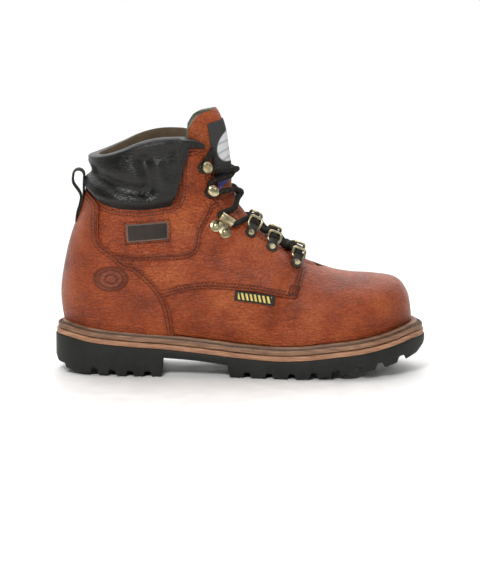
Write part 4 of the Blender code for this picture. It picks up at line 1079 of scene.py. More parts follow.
@dataclass(frozen=True)
class BlackEnamel(Finish):
    """Japanned steel: a black washer with a dull shine."""

    colour: str = "#15130F"

    def paint(self, g: Graph) -> None:
        """Draws the finish."""
        worn = g.noise(g.place, 0.0024, 3.0, 0.6)
        g.drive("Base Color", g.ramp(worn, [(0.45, self.colour), (0.8, "#3A3226")]))
        g.drive("Roughness", g.ramp(worn, [(0.3, self.roughness), (0.7, self.roughness + 0.2)]))
        self.bump(g, worn, 0.1)


@dataclass(frozen=True)
class Cloth(Finish):
    """Woven or knitted cloth: threads crossing at a pitch, drawn on the piece's own pattern.

    The real pitch of the lining is about 0.5 mm and is drawn twice as coarse, so that
    it shows.
    """

    colour: str = "#43372B"
    light: str = "#615140"
    pitch: float = 0.0012
    slant: float = 0.0

    def weave(self, g: Graph) -> tuple:
        """The weave's height and the pattern coordinates."""
        where = g.pattern()
        turned = g.node(
            "ShaderNodeMapping", {"Rotation": (0.0, 0.0, math.radians(self.slant))}, {"Vector": where}
        ).outputs["Vector"]
        x, y = g.split(turned)
        threads = g.times(g.wave(x, self.pitch), g.wave(y, self.pitch))
        return g.more(threads, 0.5, 0.5), where

    def paint(self, g: Graph) -> None:
        """Draws the finish."""
        height, _ = self.weave(g)
        cloudy = g.noise(g.place, 0.01, 3.0, 0.6)
        tone = g.ramp(height, [(0.2, self.colour), (0.8, self.light)])
        tone = g.mix(0.5, tone, g.ramp(cloudy, [(0.3, 0.25), (0.7, 0.7)]), "SOFT_LIGHT")
        g.drive("Base Color", tone)
        g.hold("Specular IOR Level", 0.25)
        self.bump(g, height)


@dataclass(frozen=True)
class BraidedCord(Cloth):
    """Round braided polyester lace: black, with a brown tracer in every few strands."""

    tracer: str = "#3C2B1C"
    strands: float = 5.0

    def paint(self, g: Graph) -> None:
        """Draws the finish."""
        x, y = g.split(g.pattern())
        around = g.times(x, 2 * math.pi * self.strands)
        run = g.times(y, 2 * math.pi / self.pitch)
        left = g.math("SINE", g.math("ADD", around, run))
        right = g.math("SINE", g.math("SUBTRACT", around, run))
        height = g.more(g.math("MAXIMUM", left, right), 0.5, 0.5)
        fleck = g.node(
            "ShaderNodeTexNoise", {"Scale": 420.0, "Detail": 1.0}, {"Vector": g.place}
        ).outputs["Fac"]
        tone = g.ramp(height, [(0.25, "#0E0C0A"), (0.85, self.colour)])
        tone = g.mix(g.ramp(fleck, [(0.6, 0.0), (0.68, 1.0)]), tone, self.tracer)
        g.drive("Base Color", tone)
        g.hold("Specular IOR Level", 0.25)
        self.bump(g, height)


@dataclass(frozen=True)
class BarredTag(Cloth):
    """Satin-woven tag: black ground with plain golden bars, no lettering."""

    gold: str = "#D6C067"
    length: float = 0.034
    height_share: float = 0.008

    def paint(self, g: Graph) -> None:
        """Draws the finish."""
        weave, where = self.weave(g)
        x, y = g.split(where)
        bars = g.wave(g.more(y, 0.35, x), 0.0036)
        bars = g.ramp(g.more(bars, 0.5, 0.5), [(0.42, 0.0), (0.56, 1.0)])
        middle = g.math("ABSOLUTE", g.math("DIVIDE", y, self.height_share / 2))
        band = g.ramp(middle, [(0.62, 1.0), (0.72, 0.0)])
        ends = g.math("ABSOLUTE", g.math("DIVIDE", x, self.length / 2))
        ends = g.ramp(ends, [(0.8, 1.0), (0.84, 0.0)])
        share = g.times(g.times(bars, band), ends)
        tone = g.mix(share, self.colour, self.gold)
        tone = g.mix(0.35, tone, g.ramp(weave, [(0.2, 0.3), (0.8, 0.75)]), "SOFT_LIGHT")
        g.drive("Base Color", tone)
        self.bump(g, weave)


@dataclass(frozen=True)
class FieldLabel(Cloth):
    """Woven label: a grey lozenge on a dark ground over a blue foot, no picture."""

    field: str = "#C9CACB"
    foot: str = "#5A5E9E"
    height_share: float = 0.052
    width_share: float = 0.026

    def paint(self, g: Graph) -> None:
        """Draws the finish."""
        weave, where = self.weave(g)
        x, y = g.split(where)
        up = g.math("DIVIDE", y, self.height_share / 2)
        side = g.math("ABSOLUTE", g.math("DIVIDE", x, self.width_share / 2))
        lozenge = g.math("POWER", side, 2.0)
        middle = g.times(g.math("SUBTRACT", up, 0.12), 1.45)
        lozenge = g.math("ADD", lozenge, g.math("POWER", g.math("ABSOLUTE", middle), 2.0))
        lozenge = g.ramp(lozenge, [(0.56, 1.0), (0.64, 0.0)])
        ring = g.wave(y, 0.0075)
        ring = g.ramp(g.more(ring, 0.5, 0.5), [(0.8, 0.0), (0.9, 1.0)])
        foot = g.ramp(up, [(0.0, 1.0), (0.001, 0.0)])
        low = g.math("LESS_THAN", up, -0.66)
        tone = g.mix(lozenge, self.colour, self.field)
        tone = g.mix(g.times(g.times(ring, lozenge), 0.45), tone, "#6E7072")
        tone = g.mix(g.times(low, foot), tone, self.foot)
        g.hold("Specular IOR Level", 0.15)
        tone = g.mix(0.35, tone, g.ramp(weave, [(0.2, 0.3), (0.8, 0.75)]), "SOFT_LIGHT")
        g.drive("Base Color", tone)
        self.bump(g, weave)


@dataclass(frozen=True)
class Thread(Finish):
    """Bonded nylon thread: a twisted strand with a slight shine."""

    colour: str = "#4A1D12"
    shade: str = "#240D07"

    def paint(self, g: Graph) -> None:
        """Draws the finish."""
        twist = g.node(
            "ShaderNodeTexWave", {"Scale": 260.0, "Distortion": 1.5}, {"Vector": g.place}
        ).outputs["Fac"]
        g.drive("Base Color", g.ramp(twist, [(0.2, self.shade), (0.7, self.colour)]))
        self.bump(g, twist)


class Wardrobe:
    """Every finish on the boot, made once."""

    def __init__(self) -> None:
        """Makes the materials."""
        leather = dict(roughness=0.35, relief=1.0, relief_depth=0.00125)
        self.leather = PebbledLeather("oiled_full_grain_leather", **leather).make()
        self.stamped = PebbledLeather("oiled_leather_stamped", stamp=True, **leather).make()
        self.flesh = PebbledLeather(
            "leather_cut_edge", roughness=0.7, relief=0.4, base="#4E2212", light="#6A321C", dark="#30130A"
        ).make()
        self.collar = PebbledLeather(
            "soft_black_nappa", roughness=0.37, relief=0.55, relief_depth=0.0007, base="#0C0B08",
            light="#171510", dark="#080908", pebble=0.0012, wrinkle=0.005, coat=0.0, specular=0.4
        ).make()
        self.lining = Cloth("knitted_mesh_lining", roughness=0.9, relief=0.5, slant=45.0).make()
        self.felt = Cloth(
            "padded_tongue_lining", roughness=0.95, colour="#57564A", light="#7B7968", pitch=0.001
        ).make()
        self.rubber = MouldedRubber("nitrile_rubber", roughness=0.62, relief=0.25).make()
        self.patch = MouldedRubber(
            "soft_moulded_rubber", roughness=0.55, relief=0.3, colour="#241E1A", haze="#362E28"
        ).make()
        self.frame = MouldedRubber(
            "grey_moulded_rubber", roughness=0.5, relief=0.2, colour="#5A4A42", haze="#6C5A50"
        ).make()
        self.midsole = LeatherBoard("leather_board_midsole", roughness=0.62, relief=0.35).make()
        self.welt = LeatherBoard(
            "dressed_leather_welt", roughness=0.6, relief=0.35, colour="#8F7058", dark="#705240",
            light="#AE8C72"
        ).make()
        self.insole = LeatherBoard(
            "fibre_insole", roughness=0.9, relief=0.3, colour="#4A3E33", dark="#332A22", light="#5F5144"
        ).make()
        self.brass = AntiqueBrass("antique_brass_plate", roughness=0.26, relief=0.2).make()
        self.enamel = BlackEnamel("japanned_steel", roughness=0.38, relief=0.2).make()
        self.webbing = Cloth(
            "polyester_webbing", roughness=0.85, relief=0.7, colour="#20231E", light="#3A3E35", pitch=0.0022
        ).make()
        self.lace = BraidedCord(
            "braided_polyester_lace", roughness=0.82, relief=0.8, colour="#1C1915", pitch=0.0036
        ).make()
        self.thread = Thread("bonded_nylon_thread", roughness=0.55, relief=0.4).make()
        self.welt_thread = Thread(
            "waxed_welt_thread", roughness=0.55, relief=0.4, colour="#6E5138", shade="#332116"
        ).make()
        self.tag = BarredTag(
            "satin_tag", roughness=0.7, relief=0.4, colour="#17150F", light="#2B281F", pitch=0.0007
        ).make()
        self.label = FieldLabel(
            "woven_label", roughness=0.75, relief=0.4, colour="#3A3B3A", light="#4C4D4B", pitch=0.0008
        ).make()


# The upper


@dataclass
class Upper:
    """Skin, ankle panels, quarters and heel counter, with their seams."""

    looks: Wardrobe
    columns: int = 58
    ankle_lift: float = 0.001
    quarter_lift: float = 0.002
    counter_lift: float = 0.00304
    cell: float = 0.003
    stitches: Stitching = field(default_factory=Stitching)
    wide: float = 0.125
    tall: float = 0.0185

    def creases(self) -> list:
        """Soft folds over the vamp's flex, the instep and the ankle."""
        return [
            Trough(((0.15, 0.05), (0.163, 0.066), (0.172, 0.084)), 0.0045, 0.0007),
            Trough(((0.166, 0.046), (0.18, 0.061), (0.192, 0.079)), 0.005, 0.0008),
            Trough(((0.188, 0.044), (0.2, 0.058), (0.213, 0.074)), 0.005, 0.0007),
            Trough(((0.105, 0.062), (0.113, 0.052), (0.121, 0.043)), 0.0045, 0.0007),
            Trough(((0.118, 0.066), (0.128, 0.054), (0.138, 0.043)), 0.0045, 0.0006),
            Trough(((0.205, 0.088), (0.22, 0.08), (0.236, 0.078)), 0.006, 0.0009),
            Trough(((0.1, 0.104), (0.12, 0.098), (0.142, 0.1)), 0.007, 0.0008),
            Trough(((0.12, 0.128), (0.13, 0.14), (0.133, 0.156)), 0.004, 0.0006),
            Trough(((0.028, 0.1), (0.024, 0.075), (0.03, 0.055)), 0.011, -0.0007),
            Trough(((0.06, 0.118), (0.078, 0.114), (0.098, 0.118)), 0.006, 0.0007)
        ]

    def relief(self, x: Array, z: Array) -> Array:
        """The creases together, at side points."""
        total = np.zeros(np.shape(x))
        for crease in self.creases():
            total = total + crease.offset(x, z)
        return total

    def seams(self) -> dict:
        """Side curves of the panels' edges."""
        collar = np.array(COLLAR_EDGE)
        knots = np.arange(len(collar), dtype=float)
        at = np.linspace(0.0, len(collar) - 1, 140)
        x = LAST.along(np.interp(at, knots, collar[:, 0]))
        line = np.stack([x, LAST.above(np.interp(at, knots, collar[:, 1]))], axis=1)
        return {
            "counter": side_curve(COUNTER_EDGE), "ankle": side_curve(ANKLE_SEAM),
            "vamp": side_curve(VAMP_SEAM), "collar": line
        }

    def build(self) -> None:
        """Builds the pieces."""
        self.build_skin()
        lines = self.seams()
        for side in Side:
            self.build_ankle(side, lines)
            self.build_quarter(side, lines)
            self.build_seams(side, lines)
        self.build_counter(lines)

    def build_skin(self) -> None:
        """The vamp and the wall under the panels, with its lining."""
        rows = np.concatenate(
            [np.linspace(0, 3, 27)[:-1], np.linspace(3, 8, 40)[:-1], np.linspace(8, 24, 78)]
        )
        meshes = []
        for side in Side:
            s, v = LAST.shares(side, rows, self.columns, 0.0035)
            base = LAST.surface(s, v, side)
            points = LAST.point(s, v, side, self.relief(base[..., 0], base[..., 2]) * ease(s * 8))
            meshes.append(grid_mesh(points, base[..., (0, 2)], plain_edge(points)))
        looks = [self.looks.leather, self.looks.lining, self.looks.flesh]
        made = finish_piece("upper_skin", joined(meshes), looks, ["upper"])
        thicken(made, WALL, 1, 2)

    def panel(self, outline: Array, edge: Array, side: Side, lift: float) -> Mesh:
        """A panel laid on the form, cut from one face into cells.

        Its outline is in shares s and v, its cut edge in space, and the lift is how far
        its outer face stands off.
        """
        shape = bmesh.new()
        verts = [shape.verts.new((s * self.wide, v * self.tall, 0.0)) for s, v in outline]
        shape.faces.new(verts)
        bmesh.ops.remove_doubles(shape, verts=shape.verts, dist=0.00005)
        low = outline.min(axis=0) * (self.wide, self.tall)
        high = outline.max(axis=0) * (self.wide, self.tall)
        for axis in (0, 1):
            for stop in np.arange(low[axis] + self.cell / 2, high[axis], self.cell):
                place = (stop, 0.0, 0.0) if axis == 0 else (0.0, stop, 0.0)
                normal = (1.0, 0.0, 0.0) if axis == 0 else (0.0, 1.0, 0.0)
                geom = shape.verts[:] + shape.edges[:] + shape.faces[:]
                bmesh.ops.bisect_plane(shape, geom=geom, dist=0.00002, plane_co=place, plane_no=normal)
        mesh = as_mesh(shape)
        flat = places_of(mesh)
        s, v = flat[:, 0] / self.wide, flat[:, 1] / self.tall
        base = LAST.surface(s, v, side)
        gap = distance_to(LAST.point(s, v, side, lift), edge)
        folds = self.relief(base[:, 0], base[:, 2]) * ease(gap / 0.008)
        height = lift * (0.8 + 0.2 * ease(gap / 0.0065)) + folds
        mesh.vertices.foreach_set("co", LAST.point(s, v, side, height).ravel())
        mesh.attributes.new("edge", "FLOAT", "POINT").data.foreach_set("value", gap)
        add_pattern(mesh, base[:, (0, 2)])
        mesh.update()
        return mesh

    def marked(self, line: Array, side: Side) -> Array:
        """A side curve as shares s and v."""
        s, v = LAST.locate(line[:, 0], line[:, 1], side)
        return np.stack([s, v], axis=1)

    def space(self, outline: Array, side: Side, lift: float) -> Array:
        """An outline in shares as points in space."""
        return LAST.point(outline[:, 0], outline[:, 1], side, lift)

    def facing_run(self, side: Side, low: float, high: float, inset: float = 0.0) -> Array:
        """The facing's edge between two sections, in shares."""
        v = np.linspace(low, high, 90)
        return np.stack([LAST.facing(v, side) - inset, v], axis=1)

    def build_quarter(self, side: Side, lines: dict) -> None:
        """One quarter, over the ankle panel and the vamp."""
        ankle = self.marked(lines["ankle"], side)
        vamp = self.marked(lines["vamp"], side)
        inside = ankle[:, 0] < LAST.facing(ankle[:, 1], side) - 0.002
        if not inside.all():
            ankle = ankle[: int(np.argmin(inside))]
        vamp = vamp[int(np.argmax(vamp[:, 0] < LAST.facing(vamp[:, 1], side) - 0.002)) :]
        run = self.facing_run(side, float(vamp[0, 1]), float(ankle[-1, 1]))[::-1]
        counter = self.marked(lines["counter"], side)
        keep = (lines["counter"][:, 1] > LAST.above(0.158)) & (lines["counter"][:, 1] < LAST.above(0.388))
        rear = counter[keep][::-1]
        outline = np.concatenate([ankle, run, vamp, rear])
        edge = self.space(np.concatenate([ankle, run, vamp]), side, self.quarter_lift)
        shape = joined([self.panel(outline, edge, side, self.quarter_lift)])
        name = "quarter_" + side.value
        self.finish("quarter_panel_" + side.value, shape, self.quarter_lift - 0.0002, 0.0006, [name])

    def build_ankle(self, side: Side, lines: dict) -> None:
        """The ankle panel, whose edge frames the collar."""
        collar = lines["collar"][12:]
        upper = self.marked(collar, side)
        top = float(upper[-1, 1])
        run = self.facing_run(side, 10.5, top)[::-1]
        low = ((0.34, 0.33), (0.24, 0.33), (0.13, 0.33), (0.08, 0.42), (0.07, 0.56))
        low = self.marked(side_curve(low), side)
        outline = np.concatenate([upper, run, low])
        edge = self.space(np.concatenate([upper, run]), side, self.ankle_lift)
        shape = joined([self.panel(outline, edge, side, self.ankle_lift)])
        self.finish("ankle_panel_" + side.value, shape, self.ankle_lift - 0.0001, 0.0004)

    def build_counter(self, lines: dict) -> None:
        """The heel counter, round both sides in one."""
        line = lines["counter"]
        meshes = []

        def over_top(v: Array) -> Array:
            """How far section v's back stands over the counter's top."""
            return LAST.ends(v)[1] - LAST.above(COUNTER_EDGE[0][1])

        for side in Side:
            edge = self.marked(line, side)
            front = edge[(edge[:, 0] > 0.001) & (line[:, 1] > LAST.feather(line[:, 0]))]
            top_v = float(solve(over_top, np.array(17.0), np.array(24.0)))
            rear = np.stack([np.zeros(60), np.linspace(float(front[-1, 1]), top_v, 60)], axis=1)
            rim = self.space(np.concatenate([[[0.0, top_v]], front]), side, self.counter_lift)
            meshes.append(self.panel(np.concatenate([front, rear]), rim, side, self.counter_lift))
        shape = joined(meshes, 0.00006)
        name = "heel_counter"
        self.finish(name + "_panel", shape, self.counter_lift - 0.0002, 0.0008, [name], self.looks.stamped)

    def finish(
        self, name: str, shape: Shape, wall: float, edge: float, replaced: Sequence[str] = (),
        face: Optional[Look] = None
    ) -> None:
        """Turns a panel into a piece of leather with a wall and rounded edges."""
        looks = [face or self.looks.leather, self.looks.leather, self.looks.flesh]
        made = finish_piece(name, shape, looks, replaced)
        face_along(made, from_core)
        thicken(made, wall, 1, 0)
        round_edges(made, edge)

    def build_seams(self, side: Side, lines: dict) -> None:
        """The thread rows on this side."""
        shape = bmesh.new()
        counter = lines["counter"]
        counter = counter[
            (counter[:, 1] > LAST.feather(counter[:, 0]) + 0.003) & (counter[:, 0] > LAST.along(0.05))
        ]
        for offset in (0.0026, 0.0051):
            self.row(shape, shifted(counter, -offset), side, self.counter_lift * 0.94)
        vamp = self.before_facing(lines["vamp"], side)
        ankle = self.before_facing(lines["ankle"], side)
        for offset in (0.002, 0.0043):
            self.row(shape, shifted(vamp, -offset)[3:-2], side, self.quarter_lift * 0.94)
            self.row(shape, shifted(ankle, -offset)[2:], side, self.quarter_lift * 0.94)
        collar = lines["collar"][18:132]
        for offset in (0.003, 0.0056):
            self.row(shape, shifted(collar, -offset), side, self.ankle_lift * 0.96)
        s, v = self.facing_run(side, 8.4, 20.4, 0.03).T
        lift = np.where(v < 15.0, self.quarter_lift, self.ankle_lift)
        self.stitches.lay(shape, LAST.point(s, v, side, lift), LAST.normal(s, v, side))
        tack = [(0.64, 0.172), (0.664, 0.166), (0.672, 0.205), (0.648, 0.212), (0.64, 0.172)]
        tack = np.array([(LAST.along(at), LAST.above(height)) for at, height in tack], float)
        close = Stitching(pitch=0.0019, length=0.0018, radius=0.00042)
        for first, second in zip(tack, tack[1:]):
            share = np.linspace(0.0, 1.0, 8)[:, None]
            points, normals = seam_run(first + share * (second - first), side, self.quarter_lift)
            close.lay(shape, points, normals)
        finish_piece("seam_thread_" + side.value, shape, [self.looks.thread])

    def before_facing(self, line: Array, side: Side) -> Array:
        """The part of a side curve that keeps clear of the facing."""
        s, v = LAST.locate(line[:, 0], line[:, 1], side)
        return line[s < LAST.facing(v, side) - 0.012]

    def row(self, shape: Shape, line: Array, side: Side, lift: float) -> None:
        """One row of stitches along a side curve."""
        if len(line) < 3:
            return
        points, normals = seam_run(line, side, lift)
        self.stitches.lay(shape, points, normals)


@dataclass
class Collar:
    """The padded collar: two soft rolls outside, knitted lining inside."""

    looks: Wardrobe
    pad: float = 0.0062
    seat: float = 0.0008
    inside: float = 0.003
    skin: float = 0.0012
    lining_pad: float = 0.0034
    lining_depth: float = 0.018
    depth: float = 0.057
    front_row: float = 21.5
    short: float = 0.012
    columns: int = 150

    def creases(self) -> list:
        """The valley between the rolls, the upright fold and the gathers."""
        made = [
            Trough(
                ((0.018, 0.1765), (0.037, 0.169), (0.05, 0.1638), (0.064, 0.1595), (0.0765, 0.1578)),
                0.0062, 0.0054
            ),
            Trough(((0.077, 0.184), (0.0785, 0.177), (0.0805, 0.169), (0.082, 0.16)), 0.0056, 0.0036),
            Trough(((0.076, 0.1835), (0.085, 0.1868), (0.093, 0.19), (0.101, 0.1925)), 0.0056, 0.0018),
            Trough(((0.0865, 0.181), (0.0885, 0.174), (0.0915, 0.167)), 0.0046, -0.001)
        ]
        for k in range(11):
            turn = math.radians(-158 + 15 * k)
            ahead, up = math.cos(turn), math.sin(turn)
            near, far = 0.0052 + 0.0006 * (k % 3), 0.012 - 0.0012 * (k % 2)
            line = ((0.085 + near * ahead, 0.16 + near * up), (0.085 + far * ahead, 0.16 + far * up))
            made.append(Trough(line, 0.0008, 0.0004))
        return made

    def section(self, s: Array, side: Side, down: Array, drop: Array) -> Array:
        """The section where column s is a share of the way down from rim to edge."""
        edge = np.array(COLLAR_EDGE)

        def over(v: Array) -> Array:
            point = LAST.surface(s, v, side)
            at = (point[..., 0] - LAST.back) / LAST.length
            rim = read(RIM, at)
            low = np.interp(at, edge[:, 0], edge[:, 1])
            return point[..., 2] - LAST.above(rim - down * (rim - low)) + drop

        return solve(over, LAST.heel_row - 2 + 0 * s, LAST.top_row + 0 * s)

    def profile(self, s: Array, side: Side) -> tuple:
        """Down, drop and lift of the profile's points for each column, and where its lining starts."""
        none = 0 * s
        top = LAST.surface(s, self.section(s, side, none, none), side)
        low = LAST.surface(s, self.section(s, side, none + 1, none), side)
        depth = top[:, 2] - low[:, 2]
        slim = np.minimum(1.0, 0.2 + 2.0 * depth / self.depth)
        lining = np.minimum(self.lining_depth, depth + self.inside)
        pad = self.pad * slim
        knots = np.array([0.0, 0.02, 0.12, 0.3, 0.5, 0.72, 0.9, 1.0])
        lifts = np.array([0.36, 0.66, 0.92, 1.0, 0.96, 1.0, 0.8, 0.1])
        rows = []
        for down in np.concatenate([np.linspace(1.02, 0.9, 9)[:-1], np.linspace(0.9, 0.05, 44)]):
            seat = self.seat * min(1.0, max(0.0, (1.02 - down) * 30))
            rows.append((none + down, none, seat + pad * float(smooth(knots, lifts, np.array(down)))))
        rows.append((none + 0.015, none, self.seat + pad * 0.52))
        rows.append((none, none - 0.0004, self.seat + pad * 0.22))
        rows.append((none, none - 0.0009, none - 0.001))
        split = len(rows)
        rows.append((none, none - 0.0008, none - self.inside * 0.8))
        rows.append((none, none + 0.0008, none - self.inside - self.skin))
        for share in np.linspace(0.12, 1.0, 9):
            soft = math.sin(math.pi * min(1.0, share * 0.9))
            deep = self.inside + self.skin + self.lining_pad * slim * soft
            rows.append((none, lining * share * 2.2, none - deep))
        rows.append((none, lining * 2.2 + 0.001, none - WALL - 0.0002))
        return rows, split

    def build(self) -> None:
        """Builds the collar's outer sheet and its lining."""
        outside, lining = [], []
        for side in Side:
            edge = float(LAST.facing(np.array([self.front_row]), side)[0]) - self.short
            s = np.linspace(0.0, edge, self.columns)
            rows, split = self.profile(s, side)
            points = []
            for down, drop, lift in rows:
                v = self.section(s, side, down, drop)
                base = LAST.surface(s, v, side)
                outer = ease(np.clip((lift - self.seat) / (0.5 * self.pad), 0.0, 1.0))
                extra = sum(crease.offset(base[:, 0], base[:, 2]) for crease in self.creases())
                floor = np.minimum(lift, 0.0012)
                points.append(LAST.point(s, v, side, np.maximum(lift + extra * outer, floor)))
            points = np.stack(points, axis=1)
            run = np.stack([run_of(line) for line in points])
            length = np.linspace(0.0, 1.0, len(s)) * 0.17 * side.sign
            uv = np.stack([np.repeat(length[:, None], points.shape[1], axis=1), run], axis=2)
            for sheets, part in ((outside, slice(0, split + 1)), (lining, slice(split, None))):
                sheets.append(grid_mesh(points[:, part], uv[:, part], plain_edge(points[:, part])))
        roll = finish_piece("collar_roll", joined(outside), [self.looks.collar], ["collar"])
        face_along(roll, from_shaft)
        inner = finish_piece("collar_lining", joined(lining), [self.looks.lining])
        face_along(inner, from_shaft, False)


@dataclass
class Tongue:
    """The padded tongue and its label."""

    looks: Wardrobe
    thickness: float = 0.004
    under: float = 0.0035
    under_collar: float = 0.0034
    hidden: float = 0.1
    dip: float = 0.0027
    rows: int = 84
    columns: int = 57

    def surface(self, turn: Array, v: Array, lift: Array) -> Array:
        """Points of the tongue: turn runs from -1 on the lateral edge to 1 on the medial."""
        found = {}
        for side in Side:
            facing = np.minimum(LAST.facing(np.clip(v, LAST.throat + 1, 22.0), side), 0.93)
            s = 1 - np.abs(turn) * (1 - facing + self.hidden)
            lined = np.clip((v - 17.0) / 3.0, 0.0, 1.0)
            under = -self.under - self.under_collar * lined
            clear = np.clip((s - facing - 0.02) / (1 - facing - 0.02), 0.0, 1.0)
            depth = under * (1 - 3 * clear**2 + 2 * clear**3)
            found[side] = LAST.point(s, v, side, depth + lift)
        return np.where((turn < 0)[..., None], found[Side.LATERAL], found[Side.MEDIAL])

    def build(self) -> None:
        """Builds the tongue and the label."""
        rows = np.linspace(5.6, 23.3, self.rows)
        turn = np.linspace(-1.0, 1.0, self.columns)
        v, t = np.meshgrid(rows, turn, indexing="ij")
        v = np.where(v > 20.0, 20.0 + (v - 20.0) * (1 + 0.1 * np.abs(t) - 0.42 * np.abs(t) ** 5), v)
        dip = -self.dip * (1 - ease((v - 6.2) / 0.4))
        fold = 0.001 * np.sin((v - 8.0) * 2.1) * np.exp(-((t / 0.55) ** 2))
        fold = fold * ease((v - 9) / 2) * ease((19 - v) / 2)
        points = self.surface(t, v, dip - np.abs(fold))
        uv = np.stack([t * 0.03, (v - 6.2) * 0.0125], axis=2)
        shape = joined([grid_mesh(points, uv, plain_edge(points))])
        looks = [self.looks.leather, self.looks.felt, self.looks.felt]
        made = finish_piece("tongue_pad", shape, looks, ["tongue"])
        face_along(made, ahead_and_up)
        thicken(made, self.thickness, 1, 2)
        round_edges(made, 0.0012)
        self.build_label()

    def build_label(self) -> None:
        """The plain label, sewn on."""
        rows = np.linspace(14.0, 22.2, 60)
        turn = np.linspace(-0.56, 0.56, 31)
        v, t = np.meshgrid(rows, turn, indexing="ij")
        points = self.surface(t, v, 0.0009)
        across = t / 0.56 * 0.013
        up = (v - 18.1) / 4.1 * 0.026
        shape = joined([grid_mesh(points, np.stack([across, up], axis=2), plain_edge(points))])
        made = finish_piece("tongue_badge", shape, [self.looks.label], ["tongue_label"])
        face_along(made, ahead_and_up)
        thicken(made, 0.0008)
        round_edges(made, 0.0003, 2)


